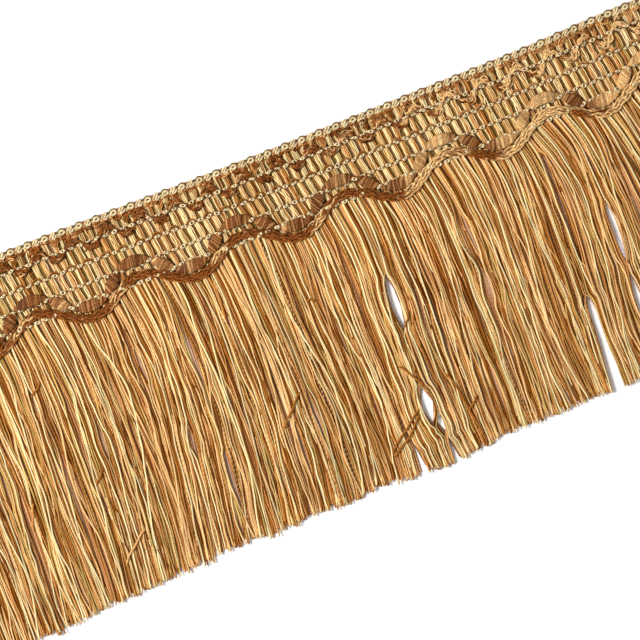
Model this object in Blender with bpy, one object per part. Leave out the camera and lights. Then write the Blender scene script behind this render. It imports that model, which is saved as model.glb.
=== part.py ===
"""A cut length of woven brush fringe, lying face up on a flat surface.

A ribbed heading carries a beaded selvedge, one crinkled yarn and two scalloped braids.
A skirt of cut yarn, gathered in locks, hangs from a narrow root strip along its lower edge.
X runs along the trim and Y across it, with the selvedge at +Y. Z is up from the surface.
"""

import math
import random

import bmesh
import bpy

MM = 0.001

# Driving sizes of the whole trim
COLUMN_PITCH = 3.03 * MM
COLUMNS = 98
LENGTH = COLUMN_PITCH * COLUMNS
TOP_Y = 61.0 * MM
PIECE_GAP = 0.3 * MM

# Depths are measured down from the selvedge's top, across the trim
CHAIN_DEPTHS = (7.3 * MM, 13.7 * MM, 19.8 * MM, 25.4 * MM)

# How far the heading rises toward +Y along the trim, at its selvedge and at its last chain row
RISES = (
    {"x": -150 * MM, "selvedge": 1.4 * MM, "last_row": 0.6 * MM},
    {"x": -90 * MM, "selvedge": 1.3 * MM, "last_row": 0.5 * MM},
    {"x": 10 * MM, "selvedge": 0.0, "last_row": 0.0},
    {"x": 85 * MM, "selvedge": 0.0, "last_row": 0.0},
    {"x": 133 * MM, "selvedge": 1.2 * MM, "last_row": 0.7 * MM},
    {"x": 150 * MM, "selvedge": 1.4 * MM, "last_row": 0.8 * MM},
)

# The selvedge: one bead for each column of the heading
BEAD_WIDTH = 2.6 * MM
BEAD_HEIGHT = 2.2 * MM
NECK_WIDTH = 1.7 * MM
NECK_HEIGHT = 1.3 * MM
BEAD_TOP_SHARE = 0.5

# The heading's columns stand up between its chain rows, with a furrow between two columns
RIB_HEIGHT = 2.0 * MM
FURROW_HEIGHT = 1.25 * MM
CHAIN_HEIGHT = 1.4 * MM
CHAIN_FURROW_HEIGHT = 1.3 * MM
EDGE_HEIGHT = 1.1 * MM
SHOULDER_INSET = 1.1 * MM
BAND_TOP_DEPTH = BEAD_WIDTH + PIECE_GAP
BAND_BOTTOM_DEPTH = CHAIN_DEPTHS[-1] + 0.5 * MM

# What lies on the heading clears the ribs by the usual gap
LYING_Z = RIB_HEIGHT + PIECE_GAP

# The wavy pieces: depth of the middle line, swing to each side, length of one wave,
# x of one crest, width, thickness, stations in each wave, and how far the ends stay back
WAVES = {
    "crinkled_yarn": {
        "depth": 7.1 * MM, "swing": 1.8 * MM, "wave": 4 * COLUMN_PITCH, "crest_x": 6.2 * MM,
        "width": 2.0 * MM, "height": 0.9 * MM, "stations": 5, "pinch": 0.25,
        "colour": (0.36, 0.13, 0.035),
    },
    "inner_braid": {
        "depth": 22.4 * MM, "swing": 4.45 * MM, "wave": 12 * COLUMN_PITCH, "crest_x": -13.9 * MM,
        "width": 2.5 * MM, "height": 1.0 * MM, "stations": 12, "pinch": 0.45,
        "colour": (0.42, 0.17, 0.045),
    },
    "outer_braid": {
        "depth": 26.5 * MM, "swing": 4.3 * MM, "wave": 12 * COLUMN_PITCH, "crest_x": -13.6 * MM,
        "width": 2.8 * MM, "height": 1.1 * MM, "stations": 12, "pinch": 0.3,
        "colour": (0.34, 0.12, 0.03),
    },
}
WAVE_END_INSET = 0.4 * MM
WAVE_SHOULDER_SHARE = 0.62
PINCH_REACH = 1.6 * MM

# The skirt: locks of cut yarn on a narrow root strip
LOCKS = 150
LOCK_PITCH = LENGTH / LOCKS
LOCK_GAP = 0.36 * MM
LOCK_LEAST_WIDTH = 0.7 * MM
STRIP_TOP_DEPTH = BAND_BOTTOM_DEPTH + PIECE_GAP
ROOT_DEPTH = STRIP_TOP_DEPTH + 1.6 * MM
STRIP_HEIGHT = 1.5 * MM
STRIP_BACK_STEP = 6
LOCK_SHARES = (0.0, 0.14, 0.3, 0.46, 0.62, 0.8, 1.0)
LOCK_BODY_HEIGHT = 1.85 * MM
LOCK_HEIGHT_SPREAD = 0.3 * MM
LOCK_TIP_HEIGHT = 1.2 * MM
TIP_SPREAD = 1.1 * MM
WAVER = 0.28 * MM
TIP_NARROWING = 0.8

# The depth of the skirt's cut edge along the trim
CUT_EDGE = (
    {"x": -150 * MM, "depth": 122.9 * MM},
    {"x": -116 * MM, "depth": 122.1 * MM},
    {"x": -92 * MM, "depth": 120.5 * MM},
    {"x": -59 * MM, "depth": 118.8 * MM},
    {"x": 7 * MM, "depth": 118.0 * MM},
    {"x": 20 * MM, "depth": 119.3 * MM},
    {"x": 40 * MM, "depth": 116.9 * MM},
    {"x": 90 * MM, "depth": 116.2 * MM},
    {"x": 150 * MM, "depth": 115.9 * MM},
)

# How the skirt drifts sideways, by place along the trim and by share of the drop
DRIFT_SHARES = (0.0, 0.3, 0.6, 1.0)
DRIFT = (
    {"x": -150 * MM, "at": (0.0, 0.0, -1.0 * MM, -3.0 * MM)},
    {"x": -102 * MM, "at": (0.0, 0.5 * MM, -0.5 * MM, -2.5 * MM)},
    {"x": -70 * MM, "at": (0.0, 0.5 * MM, 0.0, -3.5 * MM)},
    {"x": -54 * MM, "at": (0.0, 0.0, -3.0 * MM, -8.0 * MM)},
    {"x": -30 * MM, "at": (0.0, 1.0 * MM, 0.0, -3.5 * MM)},
    {"x": -8 * MM, "at": (0.0, 0.0, 1.0 * MM, -1.0 * MM)},
    {"x": 24 * MM, "at": (0.0, 0.6 * MM, -0.6 * MM, 0.0)},
    {"x": 50 * MM, "at": (0.0, 2.5 * MM, 2.0 * MM, 0.0)},
    {"x": 72 * MM, "at": (0.0, 1.0 * MM, 0.0, 0.5 * MM)},
    {"x": 92 * MM, "at": (0.0, 4.5 * MM, 2.5 * MM, 0.5 * MM)},
    {"x": 110 * MM, "at": (0.0, 4.0 * MM, 5.0 * MM, 4.5 * MM)},
    {"x": 150 * MM, "at": (0.0, 2.5 * MM, 2.7 * MM, 2.7 * MM)},
)

# Where the skirt parts: place along the trim, shares of the drop where it opens, is widest
# and closes, and its width. One that closes past 1 is still open at the tips.
PARTINGS = (
    {"x": 24.5 * MM, "open": 0.28, "widest": 0.42, "close": 0.56, "width": 1.8 * MM},
    {"x": 26.0 * MM, "open": 0.66, "widest": 0.80, "close": 0.93, "width": 2.2 * MM},
    {"x": 30.0 * MM, "open": 0.80, "widest": 1.10, "close": 1.40, "width": 1.8 * MM},
    {"x": 89.0 * MM, "open": 0.55, "widest": 0.95, "close": 1.35, "width": 2.9 * MM},
    {"x": 102.0 * MM, "open": 0.30, "widest": 0.44, "close": 0.62, "width": 2.0 * MM},
    {"x": 92.0 * MM, "open": 0.04, "widest": 0.20, "close": 0.38, "width": 1.3 * MM},
    {"x": 18.0 * MM, "open": 0.86, "widest": 1.10, "close": 1.30, "width": 1.6 * MM},
    {"x": 14.0 * MM, "open": 0.45, "widest": 0.62, "close": 0.80, "width": 1.2 * MM},
    {"x": -50.0 * MM, "open": 0.30, "widest": 0.50, "close": 0.72, "width": 1.1 * MM},
    {"x": -88.0 * MM, "open": 0.35, "widest": 0.52, "close": 0.70, "width": 1.2 * MM},
    {"x": -112.0 * MM, "open": 0.34, "widest": 0.46, "close": 0.60, "width": 1.3 * MM},
)
PARTING_REACH = 8 * MM

GOLD = (0.60, 0.33, 0.10)
SKIRT_GOLD = (0.55, 0.29, 0.085)
BEAD_GOLD = (0.70, 0.52, 0.24)


def clear_scene():
    for obj in list(bpy.data.objects):
        bpy.data.objects.remove(obj, do_unlink=True)


def yarn_material(name, colour):
    material = bpy.data.materials.new(name)
    material.use_nodes = True
    shader = material.node_tree.nodes["Principled BSDF"]
    shader.inputs["Base Color"].default_value = (*colour, 1.0)
    shader.inputs["Roughness"].default_value = 0.55
    shader.inputs["Metallic"].default_value = 0.0
    return material


def new_object(name, mesh_maker, colour):
    """Makes one named solid from the faces that mesh_maker adds to an empty bmesh."""
    working = bmesh.new()
    mesh_maker(working)
    bmesh.ops.recalc_face_normals(working, faces=working.faces)
    mesh = bpy.data.meshes.new(name)
    working.to_mesh(mesh)
    working.free()
    mesh.materials.append(yarn_material(name, colour))
    mesh.shade_smooth()
    mesh.set_sharp_from_angle(angle=math.radians(50))
    obj = bpy.data.objects.new(name, mesh)
    bpy.context.collection.objects.link(obj)
    return obj


def smooth_step(value, start, end):
    share = min(1.0, max(0.0, (value - start) / (end - start)))
    return share * share * (3 - 2 * share)


def on_curve(keys, values, key):
    """A smooth value between the entries of a short table."""
    if key <= keys[0]:
        return values[0]
    for i in range(len(keys) - 1):
        if key <= keys[i + 1]:
            share = smooth_step(key, keys[i], keys[i + 1])
            return values[i] + (values[i + 1] - values[i]) * share
    return values[-1]


def from_table(table, column, x):
    return on_curve([row["x"] for row in table], [row[column] for row in table], x)


def y_at(x, depth):
    """The y of a point this far below the selvedge's top."""
    selvedge = from_table(RISES, "selvedge", x)
    last_row = from_table(RISES, "last_row", x)
    down = min(1.0, depth / CHAIN_DEPTHS[-1])
    return TOP_Y - depth + selvedge + (last_row - selvedge) * down


def sweep(working, rings):
    """Joins rings of points, each of the same number, into one closed solid with end faces."""
    made = [[working.verts.new(point) for point in ring] for ring in rings]
    count = len(rings[0])
    for first, second in zip(made, made[1:]):
        for i in range(count):
            after = (i + 1) % count
            working.faces.new((first[i], first[after], second[after], second[i]))
    working.faces.new(made[0])
    working.faces.new(made[-1][::-1])


def bead_ring(x, width, height):
    """One cross-section of the selvedge, flat on the surface and narrower at its top."""
    middle = BEAD_WIDTH / 2
    half = width / 2
    top = half * BEAD_TOP_SHARE
    return [
        (x, y_at(x, middle - half), 0.0),
        (x, y_at(x, middle + half), 0.0),
        (x, y_at(x, middle + top), height),
        (x, y_at(x, middle - top), height),
    ]


def add_selvedge(working):
    rings = []
    for column in range(COLUMNS):
        left = -LENGTH / 2 + column * COLUMN_PITCH
        rings.append(bead_ring(left, NECK_WIDTH, NECK_HEIGHT))
        rings.append(bead_ring(left + COLUMN_PITCH / 2, BEAD_WIDTH, BEAD_HEIGHT))
    rings.append(bead_ring(LENGTH / 2, NECK_WIDTH, NECK_HEIGHT))
    sweep(working, rings)


def band_profile(on_column):
    """The heading's cross-section as (depth, height), through a column or through a furrow."""
    rib = RIB_HEIGHT if on_column else FURROW_HEIGHT
    chain_height = CHAIN_HEIGHT if on_column else CHAIN_FURROW_HEIGHT
    profile = [(BAND_TOP_DEPTH, EDGE_HEIGHT)]
    start = BAND_TOP_DEPTH
    for chain in CHAIN_DEPTHS:
        profile.append((start + SHOULDER_INSET, rib))
        profile.append((chain - SHOULDER_INSET, rib))
        profile.append((chain, chain_height))
        start = chain
    profile[-1] = (BAND_BOTTOM_DEPTH, EDGE_HEIGHT)
    profile.append((BAND_BOTTOM_DEPTH, 0.0))
    profile.append((BAND_TOP_DEPTH, 0.0))
    return profile


def add_heading(working):
    rings = []
    for station in range(2 * COLUMNS + 1):
        x = -LENGTH / 2 + station * COLUMN_PITCH / 2
        profile = band_profile(on_column=station % 2 == 1)
        rings.append([(x, y_at(x, depth), height) for depth, height in profile])
    sweep(working, rings)


def wave_depth(wave, x):
    return wave["depth"] - wave["swing"] * math.cos(
        2 * math.pi * (x - wave["crest_x"]) / wave["wave"]
    )


def wave_slope(wave, x):
    """The y change for each unit of x along the wave's middle line."""
    turn = 2 * math.pi / wave["wave"]
    return -wave["swing"] * turn * math.sin(turn * (x - wave["crest_x"]))


def pinched(wave, depth):
    """How full the piece is at this depth: 1 in the open, and less where a chain row ties it."""
    nearest = min(abs(depth - chain) for chain in CHAIN_DEPTHS)
    return 1.0 - wave["pinch"] * (1.0 - smooth_step(nearest, 0.0, PINCH_REACH))


def add_wave(working, wave):
    """A flat-backed yarn or braid that swings from side to side over the heading."""
    length = LENGTH - 2 * WAVE_END_INSET
    count = round(wave["stations"] * length / wave["wave"])
    rings = []
    for station in range(count + 1):
        x = -length / 2 + length * station / count
        depth = wave_depth(wave, x)
        slope = wave_slope(wave, x)
        if station in (0, count):
            slope = 0.0
        full = pinched(wave, depth)
        half = wave["width"] / 2 * full
        top = LYING_Z + wave["height"] * full
        size = math.hypot(1.0, slope)
        across_x, across_y = -slope / size, 1.0 / size
        middle = y_at(x, depth)
        sides = (
            (-half, LYING_Z),
            (half, LYING_Z),
            (half * WAVE_SHOULDER_SHARE, top),
            (-half * WAVE_SHOULDER_SHARE, top),
        )
        rings.append([(x + off * across_x, middle + off * across_y, z) for off, z in sides])
    sweep(working, rings)


def drift(x, share):
    """How far the skirt has moved along X at this share of its drop."""
    places = [row["x"] for row in DRIFT]
    moved = [on_curve(DRIFT_SHARES, row["at"], share) for row in DRIFT]
    return on_curve(places, moved, x)


def parting_width(parting, share):
    if share <= parting["widest"]:
        return parting["width"] * smooth_step(share, parting["open"], parting["widest"])
    return parting["width"] * (1 - smooth_step(share, parting["widest"], parting["close"]))


def parting_border(parting):
    """The number of the border between two locks where this parting opens."""
    return round((parting["x"] + LENGTH / 2) / LOCK_PITCH)


def border_x(border, share, waver):
    """Where the border between two locks lies at this share of the drop."""
    root = -LENGTH / 2 + border * LOCK_PITCH
    x = root + drift(root, share) + waver[border][0] * math.sin(
        math.pi * share * waver[border][1] + waver[border][2]
    ) * smooth_step(share, 0.0, 0.25)
    for parting in PARTINGS:
        away = root - (-LENGTH / 2 + parting_border(parting) * LOCK_PITCH)
        if abs(away) < LOCK_PITCH / 2:
            continue
        push = parting_width(parting, share) / 2 * math.exp(-abs(away) / PARTING_REACH)
        x += math.copysign(push, away)
    return x


def opened_by(border, share):
    """The width of the parting at this border, if there is one."""
    return sum(
        parting_width(parting, share)
        for parting in PARTINGS
        if parting_border(parting) == border
    )


def lock_sections(chance):
    """For each lock, its three-sided sections from root to tip: two corners on the surface
    and one on top."""
    waver = [
        (WAVER * chance.uniform(0.3, 1.0), chance.uniform(1.5, 3.0), chance.uniform(0, 6.28))
        for _ in range(LOCKS + 1)
    ]
    locks = []
    for lock in range(LOCKS):
        lock_x = -LENGTH / 2 + (lock + 0.5) * LOCK_PITCH
        tip_depth = from_table(CUT_EDGE, "depth", lock_x) + chance.uniform(-TIP_SPREAD, TIP_SPREAD)
        fullness = LOCK_BODY_HEIGHT + chance.uniform(-LOCK_HEIGHT_SPREAD, LOCK_HEIGHT_SPREAD)
        ridge = chance.uniform(0.35, 0.65)
        sections = []
        for share in LOCK_SHARES:
            left = border_x(lock, share, waver) + (LOCK_GAP + opened_by(lock, share)) / 2
            right = border_x(lock + 1, share, waver)
            right -= (LOCK_GAP + opened_by(lock + 1, share)) / 2
            missing = max(0.0, LOCK_LEAST_WIDTH - (right - left)) / 2
            left, right = left - missing, right + missing
            if share == 1.0:
                spare = (right - left) * (1 - TIP_NARROWING) / 2
                left, right = left + spare, right - spare
            y = y_at(lock_x, ROOT_DEPTH) * (1 - share) + (TOP_Y - tip_depth) * share
            if share == 0.0:
                height = STRIP_HEIGHT
            elif share == 1.0:
                height = LOCK_TIP_HEIGHT
            else:
                height = min(fullness, LYING_Z - PIECE_GAP) if share < 0.15 else fullness
            top_x = left + (right - left) * ridge
            sections.append(((left, y, 0.0), (right, y, 0.0), (top_x, y, height)))
        locks.append(sections)
    return locks


def zip_faces(working, front, back):
    """Fills the space between two rows of points that both run along X with triangles."""
    i = j = 0
    while i < len(front) - 1 or j < len(back) - 1:
        front_next = front[i + 1].co.x if i < len(front) - 1 else math.inf
        back_next = back[j + 1].co.x if j < len(back) - 1 else math.inf
        if front_next <= back_next:
            working.faces.new((front[i], front[i + 1], back[j]))
            i += 1
        else:
            working.faces.new((front[i], back[j + 1], back[j]))
            j += 1


def add_skirt(working):
    """The locks, and the root strip whose front face they all grow from."""
    end_x = LENGTH / 2
    left_y = y_at(-end_x, ROOT_DEPTH)
    right_y = y_at(end_x, ROOT_DEPTH)
    front_low = [working.verts.new((-end_x, left_y, 0.0))]
    front_top = [working.verts.new((-end_x, left_y, STRIP_HEIGHT))]
    for sections in lock_sections(random.Random(11)):
        rings = [[working.verts.new(point) for point in section] for section in sections]
        for first, second in zip(rings, rings[1:]):
            for i in range(3):
                after = (i + 1) % 3
                working.faces.new((first[i], first[after], second[after], second[i]))
        working.faces.new(rings[-1])
        left, right, top = rings[0]
        working.faces.new((front_low[-1], left, top, front_top[-1]))
        front_low += [left, right]
        front_top.append(top)
    front_low.append(working.verts.new((end_x, right_y, 0.0)))
    front_top.append(working.verts.new((end_x, right_y, STRIP_HEIGHT)))
    working.faces.new((front_low[-2], front_low[-1], front_top[-1], front_top[-2]))

    back_count = LOCKS // STRIP_BACK_STEP
    back_x = [-end_x + LENGTH * i / back_count for i in range(back_count + 1)]
    back_low = [working.verts.new((x, y_at(x, STRIP_TOP_DEPTH), 0.0)) for x in back_x]
    back_top = [working.verts.new((x, y_at(x, STRIP_TOP_DEPTH), STRIP_HEIGHT)) for x in back_x]
    zip_faces(working, front_low, back_low)
    zip_faces(working, front_top, back_top)
    for i in range(back_count):
        working.faces.new((back_low[i], back_low[i + 1], back_top[i + 1], back_top[i]))
    for end in (0, -1):
        working.faces.new((front_low[end], back_low[end], back_top[end], front_top[end]))


def main():
    clear_scene()
    new_object("selvedge_beads", add_selvedge, BEAD_GOLD)
    new_object("heading_band", add_heading, GOLD)
    for name, wave in WAVES.items():
        new_object(name, lambda working, wave=wave: add_wave(working, wave), wave["colour"])
    new_object("fringe_skirt", add_skirt, SKIRT_GOLD)


main()
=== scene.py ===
"""Looks of a cut length of woven brush fringe, lying face up on a pale floor.

Every yarn is drawn: the floats of the heading, its chain rows, the selvedge, the crinkled yarn,
both scalloped braids and the cut yarns of the skirt. Lengths are in millimetres until a mesh is made.
X runs along the trim, Y across it towards the selvedge, and Z up from the floor.
"""

import math

import bpy
import numpy as np
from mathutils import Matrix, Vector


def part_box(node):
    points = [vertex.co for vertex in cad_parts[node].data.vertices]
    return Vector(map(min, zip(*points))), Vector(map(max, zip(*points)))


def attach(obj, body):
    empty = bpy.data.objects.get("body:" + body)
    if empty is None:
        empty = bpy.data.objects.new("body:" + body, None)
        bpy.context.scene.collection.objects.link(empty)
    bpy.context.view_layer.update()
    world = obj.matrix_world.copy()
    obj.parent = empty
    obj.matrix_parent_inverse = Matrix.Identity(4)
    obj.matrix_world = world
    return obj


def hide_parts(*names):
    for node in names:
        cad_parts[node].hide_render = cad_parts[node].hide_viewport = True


MM = 0.001

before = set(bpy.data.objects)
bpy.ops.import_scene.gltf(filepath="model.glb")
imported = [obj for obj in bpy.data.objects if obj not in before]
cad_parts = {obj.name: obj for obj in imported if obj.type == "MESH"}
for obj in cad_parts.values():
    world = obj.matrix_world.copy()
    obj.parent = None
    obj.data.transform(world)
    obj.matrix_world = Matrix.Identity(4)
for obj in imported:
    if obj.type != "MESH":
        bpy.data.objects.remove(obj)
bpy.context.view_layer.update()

# The heading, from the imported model
HEADING_LOW, HEADING_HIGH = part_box("heading_band")
LENGTH = (HEADING_HIGH.x - HEADING_LOW.x) / MM
HALF_LENGTH = LENGTH / 2
COLUMNS = 98
PITCH = LENGTH / COLUMNS
TOP_Y = 61.0

# Depths are measured down from the selvedge's top, across the trim
CHAIN_DEPTHS = np.array([7.3, 13.7, 19.8, 25.4])
ROWS = len(CHAIN_DEPTHS)
SELVEDGE_DEPTH = 1.6
ROOT_DEPTH = 24.9

# How far the heading rises toward +Y along the trim, at its selvedge and at its last chain row
RISE_AT = np.array([-150, -90, 10, 85, 133, 150.0])
SELVEDGE_RISE = np.array([1.4, 1.3, 0, 0, 1.2, 1.4])
LAST_ROW_RISE = np.array([0.6, 0.5, 0, 0, 0.7, 0.8])

# The skirt's cut edge: place along the trim, and depth
CUT_AT = np.array([-150, -116, -92, -59, 7, 20, 40, 90, 150.0])
CUT_DEPTH = np.array([122.9, 122.1, 120.5, 118.8, 118.0, 119.3, 116.9, 116.2, 115.9])

# How the skirt drifts along X: place along the trim, and the shift at shares of its drop
DRIFT_SHARES = np.array([0.0, 0.3, 0.6, 1.0])
DRIFT_AT = np.array([-150, -102, -70, -54, -30, -8, 24, 50, 72, 92, 110, 150.0])
DRIFT = np.array([
    (0, 0.0, -1.0, -3.0), (0, 0.5, -0.5, -2.5), (0, 0.5, 0.0, -3.5), (0, 0.0, -3.0, -8.0),
    (0, 1.0, 0.0, -3.5), (0, 0.0, 1.0, -1.0), (0, 0.6, -0.6, 0.0), (0, 2.5, 2.0, 0.0),
    (0, 1.0, 0.0, 0.5), (0, 4.5, 2.5, 0.5), (0, 4.0, 5.0, 4.5), (0, 2.5, 2.7, 2.7),
])

# Where the skirt parts: top x and y, bottom x and y, half the width, whether the tips are open,
# and whether the floor shows through or only the darker yarns below, painted with the floor's grey in
# shadow
PARTINGS = (
    (25.3, 7.0, 25.0, -11.0, 1.75, False, True),
    (23.3, -30.5, 22.0, -43.5, 2.2, False, True),
    (24.5, -42.0, 24.2, -48.0, 1.4, False, True),
    (14.5, -49.0, 13.6, -57.5, 1.2, True, True),
    (25.2, -50.0, 25.0, -58.0, 1.3, True, True),
    (85.4, -22.0, 82.8, -58.0, 2.3, True, True),
    (101.9, 4.0, 101.4, -17.0, 1.35, False, True),
    (100.6, -22.0, 99.4, -48.0, 1.4, False, True),
    (89.0, 27.0, 87.0, -12.0, 0.7, False, False),
    (56.5, 17.0, 57.0, 2.0, 0.8, False, False),
    (56.0, -4.0, 56.0, -14.0, 0.8, False, False),
    (-60.5, 17.0, -60.0, 3.0, 0.7, False, False),
    (-43.0, 15.0, -43.5, -4.0, 0.7, False, False),
    (-53.5, -13.0, -54.0, -24.0, 0.7, False, False),
    (-46.0, -26.0, -46.5, -46.0, 0.8, False, False),
    (-97.5, 17.0, -98.0, 6.0, 0.6, False, False),
    (-116.5, -5.0, -117.0, -18.0, 0.7, False, False),
    (-81.0, -4.0, -81.5, -14.0, 0.6, False, False),
    (-12.5, -18.0, -13.0, -36.0, 0.6, False, False),
    (-20.5, -26.0, -21.0, -44.0, 0.6, False, False),
    (7.0, -24.0, 6.5, -40.0, 0.5, False, False),
    (46.5, -30.0, 46.0, -50.0, 0.5, False, False),
)
# How far beside a parting its yarns are still pushed away
PARTING_REACH = 5.0

# Yarns that lie across the others: start, end, sideways bow, and the colour's name
STRAYS = (
    ((5.6, -48.0), (20.5, -37.0), 0.7, "rust"),
    ((6.0, -49.2), (19.6, -38.6), -0.5, "rust"),
    ((18.2, -21.5), (23.8, -31.0), 0.6, "rust"),
    ((-24.1, -27.1), (-14.2, -17.2), 0.6, "rust"),
    ((25.4, -10.6), (28.7, -5.7), 0.2, "rust"),
    ((34.7, -44.3), (39.3, -40.3), 0.5, "rust"),
    ((32.0, -28.8), (36.0, -57.0), 0.9, "rust"),
    ((-97.7, 13.5), (-92.4, 17.4), 0.3, "rust"),
    ((-113.2, -27.1), (-109.9, -18.9), 0.4, "orange"),
    ((-88.4, -21.2), (-84.5, -17.2), 0.3, "rust"),
    ((-89.1, -49.2), (-78.5, -40.3), 0.8, "gold"),
    ((-1.5, 9.5), (0.8, 8.2), 0.8, "rust"),
)

# The wavy pieces of the heading: depth of the middle line, swing, wave length, x of one crest, and
# how much deeper the troughs are towards +X
CRINKLE = {"depth": 7.1, "swing": 1.9, "wave": 4 * PITCH, "crest": 6.2, "deeper": 1.0}
FINE_WAVE = {"depth": 13.45, "swing": 0.95, "wave": 2 * PITCH, "crest": -9.2, "deeper": 0.0}
INNER_BRAID = {"depth": 22.4, "swing": 4.45, "wave": 12 * PITCH, "crest": -13.9, "deeper": 0.0}
OUTER_BRAID = {"depth": 27.0, "swing": 3.8, "wave": 12 * PITCH, "crest": -13.6, "deeper": 0.0}

# Stretches along X over which the trim changes towards its golden end
TURNS_GOLD = (10.0, 90.0)
LIGHTENS = (20.0, 70.0)
CRESTS_TURN_GOLD = (-10.0, 70.0)
TROUGHS_DEEPEN = (40.0, 90.0)
CURLS_THIN_OUT = (25.0, 80.0)

# How far inside the cut ends the yarns of the heading stop
END_INSET = 0.5
CLIP_INSET = 0.4

# Yarn colours as seen in flat light, in sRGB
COLOURS = {
    "cream": (0.97, 0.88, 0.69),
    "pale": (0.95, 0.86, 0.64),
    "straw": (0.92, 0.75, 0.51),
    "dull": (0.80, 0.66, 0.38),
    "gold": (0.85, 0.64, 0.40),
    "amber": (0.97, 0.72, 0.43),
    "russet": (0.58, 0.325, 0.13),
    "orange": (0.78, 0.54, 0.29),
    "rust": (0.61, 0.37, 0.13),
    "brown": (0.49, 0.275, 0.05),
    # Not a yarn's own colour: painted shade, the greyish mauve of the floor seen in shadow through gaps
    "shaded": (0.78, 0.63, 0.52),
    "olive": (0.50, 0.43, 0.20),
}


def linear(colour):
    return np.array([c / 12.92 if c <= 0.04045 else ((c + 0.055) / 1.055) ** 2.4 for c in colour])


LINEAR = {name: linear(colour) for name, colour in COLOURS.items()}


def in_range(shade):
    """Colours brighter than the brightest there is, held back without a change of hue."""
    return np.maximum(shade, 0.005) / np.maximum(shade.max(axis=-1, keepdims=True), 1.0)


def smooth(value, start, end):
    """0 at start and 1 at end, easing in and out between them; start may be the greater."""
    share = np.clip((value - start) / (end - start), 0.0, 1.0)
    return share * share * (3 - 2 * share)


def blend(first, second, share):
    return first * (1 - share) + second * share


def on_table(x, places, values):
    """Values of a table at x, smooth between its places."""
    i = np.clip(np.searchsorted(places, x) - 1, 0, len(places) - 2)
    return values[i] + (values[i + 1] - values[i]) * smooth(x, places[i], places[i + 1])


def y_at(x, depth):
    """The y of a point this far below the selvedge's top."""
    selvedge = on_table(x, RISE_AT, SELVEDGE_RISE)
    last_row = on_table(x, RISE_AT, LAST_ROW_RISE)
    down = np.minimum(1.0, depth / CHAIN_DEPTHS[-1])
    return TOP_Y - depth + selvedge + (last_row - selvedge) * down


# The columns don't stand quite square to the trim: their shift along X for each millimetre of
# depth, and the depth at which there is none
SLANT = 0.095
UPRIGHT_DEPTH = 13.0


def slant(depth):
    """How far the columns have moved along X at a depth."""
    return SLANT * (depth - UPRIGHT_DEPTH)


def column_x(column):
    """The x of the middle of a column of the heading, counted from the -X end."""
    return -HALF_LENGTH + (column + 0.5) * PITCH


def along_trim(stations, inset=END_INSET):
    """Even places along the trim, from just inside one cut end to just inside the other."""
    return np.linspace(-HALF_LENGTH + inset, HALF_LENGTH - inset, stations)


def within_trim(x):
    """x, held back from the two cut ends."""
    return np.clip(x, -HALF_LENGTH + CLIP_INSET, HALF_LENGTH - CLIP_INSET)


def wave_depth(wave, x):
    """The depth of a wavy piece's middle line at x."""
    turn = np.cos(2 * math.pi * (x - wave["crest"]) / wave["wave"])
    deeper = wave["deeper"] * smooth(x, *TROUGHS_DEEPEN) * (1 - turn) / 2
    return wave["depth"] - wave["swing"] * turn + deeper


def wander(rng, count, along, cycles, size):
    """For each of count yarns, a smooth random sway along its length."""
    sway = np.zeros((count, len(along)))
    for share in (1.0, 0.6, 0.35):
        turns = rng.uniform(cycles[0], cycles[1], (count, 1)) / share
        phase = rng.uniform(0, 2 * math.pi, (count, 1))
        sway += share * rng.normal(0, 1, (count, 1)) * np.sin(turns * 2 * math.pi * along + phase)
    return sway * size


# How golden the rust yarns are at the two ends of the trim, and the lengths of their patches
GOLD_LEFT, GOLD_RIGHT = 0.02, 0.8
PATCH_LENGTHS = (11.0, 19.0, 33.0)


def variegated(x, rng, patchy=0.14):
    """How golden the rust yarns are at x, from 0 to 1: they lighten towards +X, in patches."""
    patches = np.zeros_like(x)
    for length in PATCH_LENGTHS:
        patches += np.sin(2 * math.pi * x / length + rng.uniform(0, 6.28))
    even = GOLD_LEFT + (GOLD_RIGHT - GOLD_LEFT) * smooth(x, *TURNS_GOLD)
    return np.clip(even + patchy * patches, 0.0, 1.0)


def stacked(*arrays):
    return np.stack(arrays, axis=-1)


def link_object(name, data):
    obj = bpy.data.objects.new(name, data)
    bpy.context.scene.collection.objects.link(obj)
    return obj


def make_mesh(name, points, loops, sizes, uvs, bake_uvs, shade_a, shade_b, material):
    """One object from arrays: points in millimetres, corners of each face, and its maps."""
    mesh = bpy.data.meshes.new(name)
    mesh.vertices.add(len(points))
    mesh.vertices.foreach_set("co", (points * MM).astype(np.float32).ravel())
    mesh.loops.add(len(loops))
    mesh.loops.foreach_set("vertex_index", loops.astype(np.int32))
    mesh.polygons.add(len(sizes))
    starts = np.concatenate([[0], np.cumsum(sizes)[:-1]])
    mesh.polygons.foreach_set("loop_start", starts.astype(np.int32))
    mesh.polygons.foreach_set("use_smooth", np.ones(len(sizes), bool))
    mesh.update(calc_edges=True)
    for layer, values in (("OFBake", bake_uvs), ("yarn", uvs)):
        mesh.uv_layers.new(name=layer).data.foreach_set("uv", values.astype(np.float32).ravel())
    for layer, values in (("shade_a", shade_a), ("shade_b", shade_b)):
        colour = np.ones((len(points), 4), np.float32)
        colour[:, :3] = values
        mesh.attributes.new(layer, "FLOAT_COLOR", "POINT").data.foreach_set("color", colour.ravel())
    mesh.materials.append(material)
    return link_object(name, mesh)


def strips(count, long_side, short_side):
    """Places for count long strips in the unit square: each one's lower corner, width and height."""
    rows = max(1, round(math.sqrt(count * short_side / long_side)))
    across = math.ceil(count / rows)
    i = np.arange(count)
    return i % across / across, i // across / rows, 1 / across, 1 / rows


def between(first, second):
    """The four corners of each face between two neighbouring lines of stations."""
    return stacked(first[:, :-1], first[:, 1:], second[:, 1:], second[:, :-1])


# A yarn's strip in the bake: the margin beside it, where its sides begin, the share of the strip that
# they fill, and where its two caps lie
STRIP_MARGIN = 0.08
SIDES_START, SIDES_SHARE = 0.01, 0.96
CAPS_AT = (0.005, 0.985)


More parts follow.
